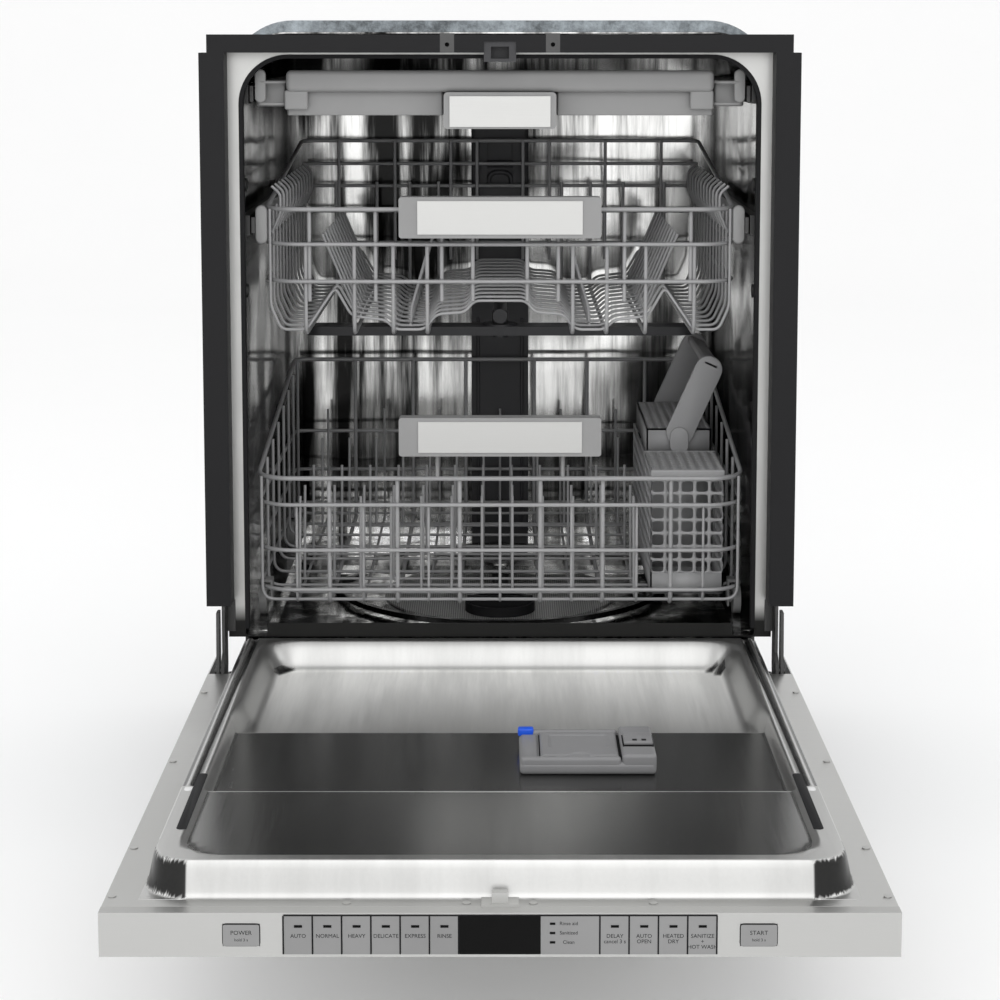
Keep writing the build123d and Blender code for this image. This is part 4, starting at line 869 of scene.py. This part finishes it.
class DISHWASHER_OT_tray(bpy.types.Operator):
    """Cutlery tray: rounded front beam, slatted wells, side beams, wire brackets and end grips"""
    bl_idname = "dishwasher.tray"
    bl_label = "Cutlery tray"

    def execute(self, context):
        low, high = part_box("cutlery_tray")
        front, back, floor, top = low[1], high[1], low[2], high[2]
        beam = 0.217
        parts = [rounded_block((-beam, front, top - 22 * MM), (beam, front + 12 * MM, top), 5.5 * MM, 6)]
        parts.append(rounded_block((-beam + 4 * MM, front + 2 * MM, top - 5 * MM),
                                   (beam - 4 * MM, front + 30 * MM, top - 1 * MM), 1.8 * MM, 4))
        start = front + 12.5 * MM
        for side in (-1, 1):
            x0, x1 = sorted((side * 0.058, side * beam))
            rim = top - 20 * MM
            parts.append(rounded_block((x0, start, floor), (x1, start + 3 * MM, rim), 1.4 * MM, 4))
            parts.append(rounded_block((x0, back - 26 * MM, floor), (x1, back - 23 * MM, rim), 1.4 * MM, 4))
            for x in (x0 + 1.5 * MM, x1 - 1.5 * MM):
                parts.append(rounded_block((x - 1.5 * MM, start, floor), (x + 1.5 * MM, back - 23 * MM, rim),
                                           1.4 * MM, 4))
            for y in np.linspace(start + 12 * MM, back - 38 * MM, 26):
                parts.append(rounded_block((x0, y, floor), (x1, y + 4 * MM, floor + 3 * MM), 1 * MM, 3))
            for x in np.linspace(x0 + 20 * MM, x1 - 20 * MM, 5):
                end = (x + 1.5 * MM, back - 24 * MM, floor + 2 * MM)
                parts.append(rounded_block((x - 1.5 * MM, start, floor), end, 0.9 * MM, 3))
            x0, x1 = sorted((side * 0.219, side * (high[0] - 0.2 * MM)))
            parts.append(rounded_block((x0, front + 18 * MM, top - 37 * MM), (x1, back, top - 11 * MM), 2.5 * MM, 4))
            grip = rounded_block((side * 0.206 - 13 * MM, front + 4 * MM, top - 40 * MM),
                                 (side * 0.206 + 11 * MM, front + 9 * MM, top - 20 * MM), 2.4 * MM, 5)
            parts.append(grip)
        parts.append(rounded_block((-0.0575, start + 2 * MM, floor + 12 * MM),
                                   (0.0575, back - 23 * MM, floor + 16 * MM), 1.5 * MM, 4))
        piece("tray_body", join(parts), "grey plastic", "cutlery_tray", ["cutlery_tray"])
        wires = []
        for side in (-1, 1):
            for z in (top - 12 * MM, top - 34 * MM):
                x0, x1 = side * 0.214, side * (high[0] - 4 * MM)
                hook = [(x0, front + 14 * MM, z), (x0 + side * 12 * MM, front + 3 * MM, z), (x1, front + 3 * MM, z),
                        (x1, front + 30 * MM, z)]
                wires.append(bar(bent_path(hook, 5 * MM), 1.6 * MM, 10))
            grip = plate(stadium(11 * MM, 34 * MM), 6 * MM, 2 * MM, 4)
            x = side * (high[0] - 6 * MM)
            wires.append(placed(grip, (x, front + 8 * MM, top - 16 * MM), (1, 0, 0), (0, 0, 1)))
        piece("tray_brackets", join(wires), "grey plastic", "cutlery_tray")
        caps = []
        low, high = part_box("upper_rack_carriers")
        for side in (-1, 1):
            grip = plate(stadium(12 * MM, 40 * MM), 8 * MM, 3 * MM, 4)
            spot = (side * (high[0] - 4 * MM), low[1] - 1 * MM, high[2] - 18 * MM)
            caps.append(placed(grip, spot, (1, 0, 0), (0, 0, 1)))
        piece("rack_end_grips", join(caps), "grey plastic", "upper_rack")
        return {"FINISHED"}


class DISHWASHER_OT_basket(bpy.types.Operator):
    """Silverware basket: windowed walls, solid foot, raised rear part, diamond lid and paddle handle"""
    bl_idname = "dishwasher.basket"
    bl_label = "Silverware basket"

    def execute(self, context):
        low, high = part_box("silverware_basket")
        lid_low, lid_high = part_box("basket_lid")
        bail_low, bail_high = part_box("basket_bail")
        low, high = np.array(low), np.array(high)
        width, depth = high[0] - low[0], high[1] - low[1]
        foot, rim = 22 * MM, lid_low[2] - 1 * MM
        tall = rim - low[2] - foot - 6 * MM
        skin = 1.8 * MM
        step = lid_high[1] + 12 * MM
        x_axis, y_axis, up = (1, 0, 0), (0, 1, 0), (0, 0, 1)
        windows = self.ring(low, high, low[2] + foot, lambda run, count: grille(count, 7, run, tall, 0.8, 5))
        walls = list(windows)
        for z, height in ((low[2], foot), (rim - 6 * MM, 6 * MM)):
            walls += self.ring(low, high, z, lambda run, count: sheet(run, height))
        walls.append(placed(sheet(width, depth), (low[0], high[1], low[2] + 1 * MM), x_axis, (0, -1, 0)))
        for y in (lid_high[1] + 1 * MM, lid_high[1] + 105 * MM):
            walls.append(placed(sheet(width, rim - low[2]), (low[0], y, low[2]), x_axis, up))
        cap = high[2] - 3 * MM
        a, b = step, high[1] - 12 * MM
        x0, x1 = low[0] + 3 * MM, high[0] - 3 * MM
        walls += self.ring((x0, a), (x1, b), rim, lambda run, count: sheet(run, cap - rim))
        walls.append(placed(grille(8, 20, x1 - x0, b - a, 0.86, 1.1, 16), (x0, a, cap), x_axis, y_axis))
        piece("basket_walls", join(walls), "basket plastic", "lower_rack",
              ["silverware_basket"], skin=skin)
        posts = []
        pivot = np.array([bail_low[0] + 13 * MM, 0, bail_low[2] + 11.8 * MM])
        for y in (bail_low[1] - 2.5 * MM, bail_high[1] + 2.5 * MM):
            ear = plate(stadium(20 * MM, 30 * MM), 3 * MM, 0.8 * MM)
            posts.append(placed(ear, (pivot[0], y + 1.5 * MM, pivot[2] - 7 * MM), x_axis, up))
        piece("basket_ears", join(posts), "basket plastic", "lower_rack")
        lid_low, lid_high = np.array(lid_low), np.array(lid_high)
        top = grille(8, 11, lid_high[0] - lid_low[0], lid_high[1] - lid_low[1], 0.86, 1.1, 16)
        top = placed(top, (lid_low[0], lid_low[1], lid_high[2]), x_axis, y_axis)
        piece("diamond_lid", top, "basket plastic", "basket_lid", ["basket_lid"],
              skin=skin)
        lip = rounded_block((lid_low[0] - 1 * MM, lid_low[1] - 3 * MM, lid_low[2] - 7 * MM),
                            (lid_high[0] + 1 * MM, lid_low[1] + 2 * MM, lid_high[2] + 0.5 * MM), 2 * MM, 4)
        hem = rounded_block((lid_low[0] - 1 * MM, lid_high[1] - 4 * MM, lid_low[2]),
                            (lid_high[0] + 1 * MM, lid_high[1], lid_high[2] + 0.5 * MM), 1 * MM, 4)
        piece("lid_rims", join([lip, hem]), "basket plastic", "basket_lid")
        lean = radians(24)
        way = np.array([sin(lean), 0, cos(lean)])
        side = np.array([cos(lean), 0, -sin(lean)])
        paddles = []
        for y in (bail_low[1], bail_high[1]):
            leg = plate(stadium(30 * MM, 106 * MM), 5 * MM, 1.6 * MM, 4)
            offset = 5 * MM if y == bail_low[1] else 0
            paddles.append(placed(leg, pivot + way * 0.040 + (0, y + offset, 0), side, way))
        grip = rounded_block((-10 * MM, 0, -4 * MM), (10 * MM, bail_high[1] - bail_low[1], 4 * MM), 3 * MM, 5)
        points, faces = grip
        turned = points[:, :1] * side + points[:, 1:2] * np.array(y_axis) + points[:, 2:] * way
        paddles.append((turned + pivot + way * 0.084 + (0, bail_low[1], 0), faces))
        piece("paddle_handle", join(paddles), "basket plastic", "basket_bail", ["basket_bail"])
        return {"FINISHED"}

    def ring(self, low, high, z, make):
        """Four walls round a rectangle, facing out; make(length, cells along) gives each one's shape."""
        runs = ((low[0], low[1], 1, 0, 5), (high[0], low[1], 0, 1, 16), (high[0], high[1], -1, 0, 5),
                (low[0], high[1], 0, -1, 16))
        return [placed(make(high[0] - low[0] if dx else high[1] - low[1], count), (x, y, z), (dx, dy, 0), (0, 0, 1))
                for x, y, dx, dy, count in runs]


class DISHWASHER_OT_keys(bpy.types.Operator):
    """Printed words, key lights and raised frames on the control panel"""
    bl_idname = "dishwasher.keys"
    bl_label = "Control panel"

    def execute(self, context):
        low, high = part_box("touch_keys")
        front = low[1]
        pitch = 21.7 * MM
        left = -30.35 * MM
        centres = [left - pitch * (k + 0.5) for k in range(6)][::-1]
        right = 30.35 * MM + 44 * MM
        centres += [right + pitch * (k + 0.5) for k in range(4)]
        words = ["AUTO", "NORMAL", "HEAVY", "DELICATE", "EXPRESS", "RINSE", "DELAY\ncancel 3 s", "AUTO\nOPEN",
                 "HEATED\nDRY", "SANITIZE\n+\nHOT WASH"]
        middle = (low[2] + high[2]) / 2
        lights = []
        for x, word in zip(centres, words):
            self.print_word(word, x, front, middle - 2 * MM, 4.2 * MM)
            lights.append(rounded_block((x - 3 * MM, front - 0.3 * MM, high[2] - 9 * MM),
                                        (x + 3 * MM, front, high[2] - 7 * MM), 0.2 * MM, 3))
        for k, word in enumerate(("Rinse aid", "Sanitized", "Clean")):
            z = high[2] - (7 + 7.2 * k) * MM
            self.print_word(word, 51 * MM, front, z, 3.8 * MM)
            lights.append(rounded_block((37 * MM, front - 0.3 * MM, z + 0.2 * MM),
                                        (41 * MM, front, z + 2 * MM), 0.2 * MM, 3))
        marks = [left - pitch * k for k in range(7)] + [right + pitch * k for k in range(5)]
        lines = [rounded_block((x - 0.9 * MM, front - 0.25 * MM, low[2]), (x + 0.3 * MM, front + 0.3 * MM, high[2]),
                               0.2 * MM, 2) for x in marks]
        lines.append(rounded_block((low[0] - 0.6 * MM, front - 0.25 * MM, high[2] - 0.2 * MM),
                                   (high[0] + 0.6 * MM, front + 0.3 * MM, high[2] + 0.8 * MM), 0.2 * MM, 2))
        piece("key_lines", join(lines), "print", "door")
        piece("key_lights", join(lights), "display glass", "door")
        for name, word in (("power_button", "POWER"), ("start_button", "START")):
            box_low, box_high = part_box(name)
            x = (box_low[0] + box_high[0]) / 2
            z = (box_low[2] + box_high[2]) / 2
            self.print_word(word, x, box_low[1], z + 0.5 * MM, 4.6 * MM, name)
            self.print_word("hold 3 s", x, box_low[1], z - 4.5 * MM, 3.2 * MM, name)
            half, tall = 13.5 * MM, 8.2 * MM
            corners = [(0, -tall), (half, -tall), (half, tall), (-half, tall), (-half, -tall), (0, -tall)]
            ring = [(x + a, box_low[1] + 1.2 * MM, z + b) for a, b in corners]
            piece(name + "_surround", bar(bent_path(ring, 2.5 * MM), 0.7 * MM, 8), "print", "door")
        return {"FINISHED"}

    def print_word(self, word, x, front, z, size, body="door"):
        """Raised print: the word's outline, a tenth of a millimetre thick, facing the front."""
        curve = bpy.data.curves.new("print", "FONT")
        curve.body = word
        curve.size = size
        curve.align_x = "CENTER"
        curve.extrude = 0.05 * MM
        curve.resolution_u = 3
        maker = bpy.data.objects.new("print", curve)
        mesh = bpy.data.meshes.new_from_object(maker)
        flat = np.empty(len(mesh.vertices) * 3, np.float32)
        mesh.vertices.foreach_get("co", flat)
        flat = flat.reshape(-1, 3)
        faces = [list(p.vertices) for p in mesh.polygons]
        points = np.stack([flat[:, 0] + x, front - flat[:, 2] - 0.02 * MM, flat[:, 1] + z], 1)
        bpy.data.objects.remove(maker)
        bpy.data.curves.remove(curve)
        plain = word.replace("\n", "_").replace(" ", "_").replace("+", "and").lower()
        label = "print_" + plain + ("" if body == "door" else "_" + body)
        piece(label, (points, faces), "print", body, flat=True)


class DISHWASHER_OT_stage(bpy.types.Operator):
    """Floor, soft lights, world and camera"""
    bl_idname = "dishwasher.stage"
    bl_label = "Stage"

    def execute(self, context):
        stage = settings().stage
        material, tree, shader, place = start_material("studio floor")
        shade = ranged(tree, noise(tree, place, 1.5, 2.0), 0.0, 1.0, 0.95, 0.97)
        plug(tree, shader, {"Roughness": 0.9, "Base Color": shade})
        turn = np.linspace(0, pi / 2, 24)
        bend, back, wide = 3.0, 5.0, 12.0
        run = np.concatenate([[-9.0], back + bend * np.sin(turn), [back + bend]])
        rise = np.concatenate([[0.0], bend * (1 - np.cos(turn)), [9.0]])
        x, y = np.meshgrid(np.linspace(-wide, wide, 3), run)
        z = np.repeat(rise[:, None], 3, 1)
        mesh = bpy.data.meshes.new("studio_floor")
        mesh.from_pydata(np.stack([x, y, z], -1).reshape(-1, 3).tolist(), [], grid_faces(len(run), 3))
        mesh.shade_smooth()
        mesh.materials.append(material)
        floor = bpy.data.objects.new("studio_floor", mesh)
        context.scene.collection.objects.link(floor)
        world = bpy.data.worlds.new("studio")
        world.use_nodes = True
        world.node_tree.nodes["Background"].inputs["Color"].default_value = (1, 1, 1, 1)
        world.node_tree.nodes["Background"].inputs["Strength"].default_value = 1.0
        context.scene.world = world
        for name, place, turn, size, power in (
                ("front_light", (0, -2.6, 2.2), (radians(55), 0, 0), 2.2, stage.key),
                ("left_light", (-2.4, -0.8, 1.5), (radians(75), 0, radians(-70)), 1.4, stage.key * 0.4),
                ("right_light", (2.4, -0.8, 1.5), (radians(75), 0, radians(70)), 1.4, stage.key * 0.4),
                ("low_light", (0, -3.4, 0.75), (radians(92), 0, 0), 2.4, stage.key * 0.7)):
            light = bpy.data.lights.new(name, "AREA")
            light.energy = power
            light.size = size
            lamp = bpy.data.objects.new(name, light)
            lamp.location = place
            lamp.rotation_euler = turn
            context.scene.collection.objects.link(lamp)
        camera = bpy.data.cameras.new("camera")
        camera.lens = stage.lens
        camera.sensor_width = 36
        camera.shift_y = stage.rise
        camera.clip_end = 50
        eye = bpy.data.objects.new("camera", camera)
        eye.location = (0, -stage.distance, stage.height)
        eye.rotation_euler = (pi / 2 - stage.tilt, 0, 0)
        context.scene.collection.objects.link(eye)
        context.scene.camera = eye
        context.scene.view_settings.view_transform = "Standard"
        return {"FINISHED"}


class DishwasherSettings(bpy.types.PropertyGroup):
    wires: PointerProperty(type=WireSettings)
    door: PointerProperty(type=DoorSettings)
    finish: PointerProperty(type=FinishSettings)
    stage: PointerProperty(type=StageSettings)


OPERATORS = (DISHWASHER_OT_finishes, DISHWASHER_OT_lower_rack, DISHWASHER_OT_upper_rack, DISHWASHER_OT_docking,
             DISHWASHER_OT_tray, DISHWASHER_OT_basket, DISHWASHER_OT_door_liner, DISHWASHER_OT_dispenser,
             DISHWASHER_OT_keys, DISHWASHER_OT_stage)


class DISHWASHER_PT_panel(bpy.types.Panel):
    """Lists the dishwasher's pieces"""
    bl_label = "Dishwasher"
    bl_idname = "DISHWASHER_PT_panel"
    bl_space_type = "VIEW_3D"
    bl_region_type = "UI"
    bl_category = "Dishwasher"

    def draw(self, context):
        for operator in OPERATORS:
            self.layout.operator(operator.bl_idname)


CLASSES = (WireSettings, DoorSettings, FinishSettings, StageSettings, DishwasherSettings, *OPERATORS,
           DISHWASHER_PT_panel)


def register():
    """Registers the classes and the scene's settings."""
    for item in CLASSES:
        bpy.utils.register_class(item)
    bpy.types.Scene.dishwasher = PointerProperty(type=DishwasherSettings)


def unregister():
    """Removes them again."""
    del bpy.types.Scene.dishwasher
    for item in reversed(CLASSES):
        bpy.utils.unregister_class(item)


def main():
    """Builds every piece."""
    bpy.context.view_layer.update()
    register()
    for operator in OPERATORS:
        getattr(bpy.ops.dishwasher, operator.bl_idname.split(".")[1])()


if __name__ == "__main__":
    main()
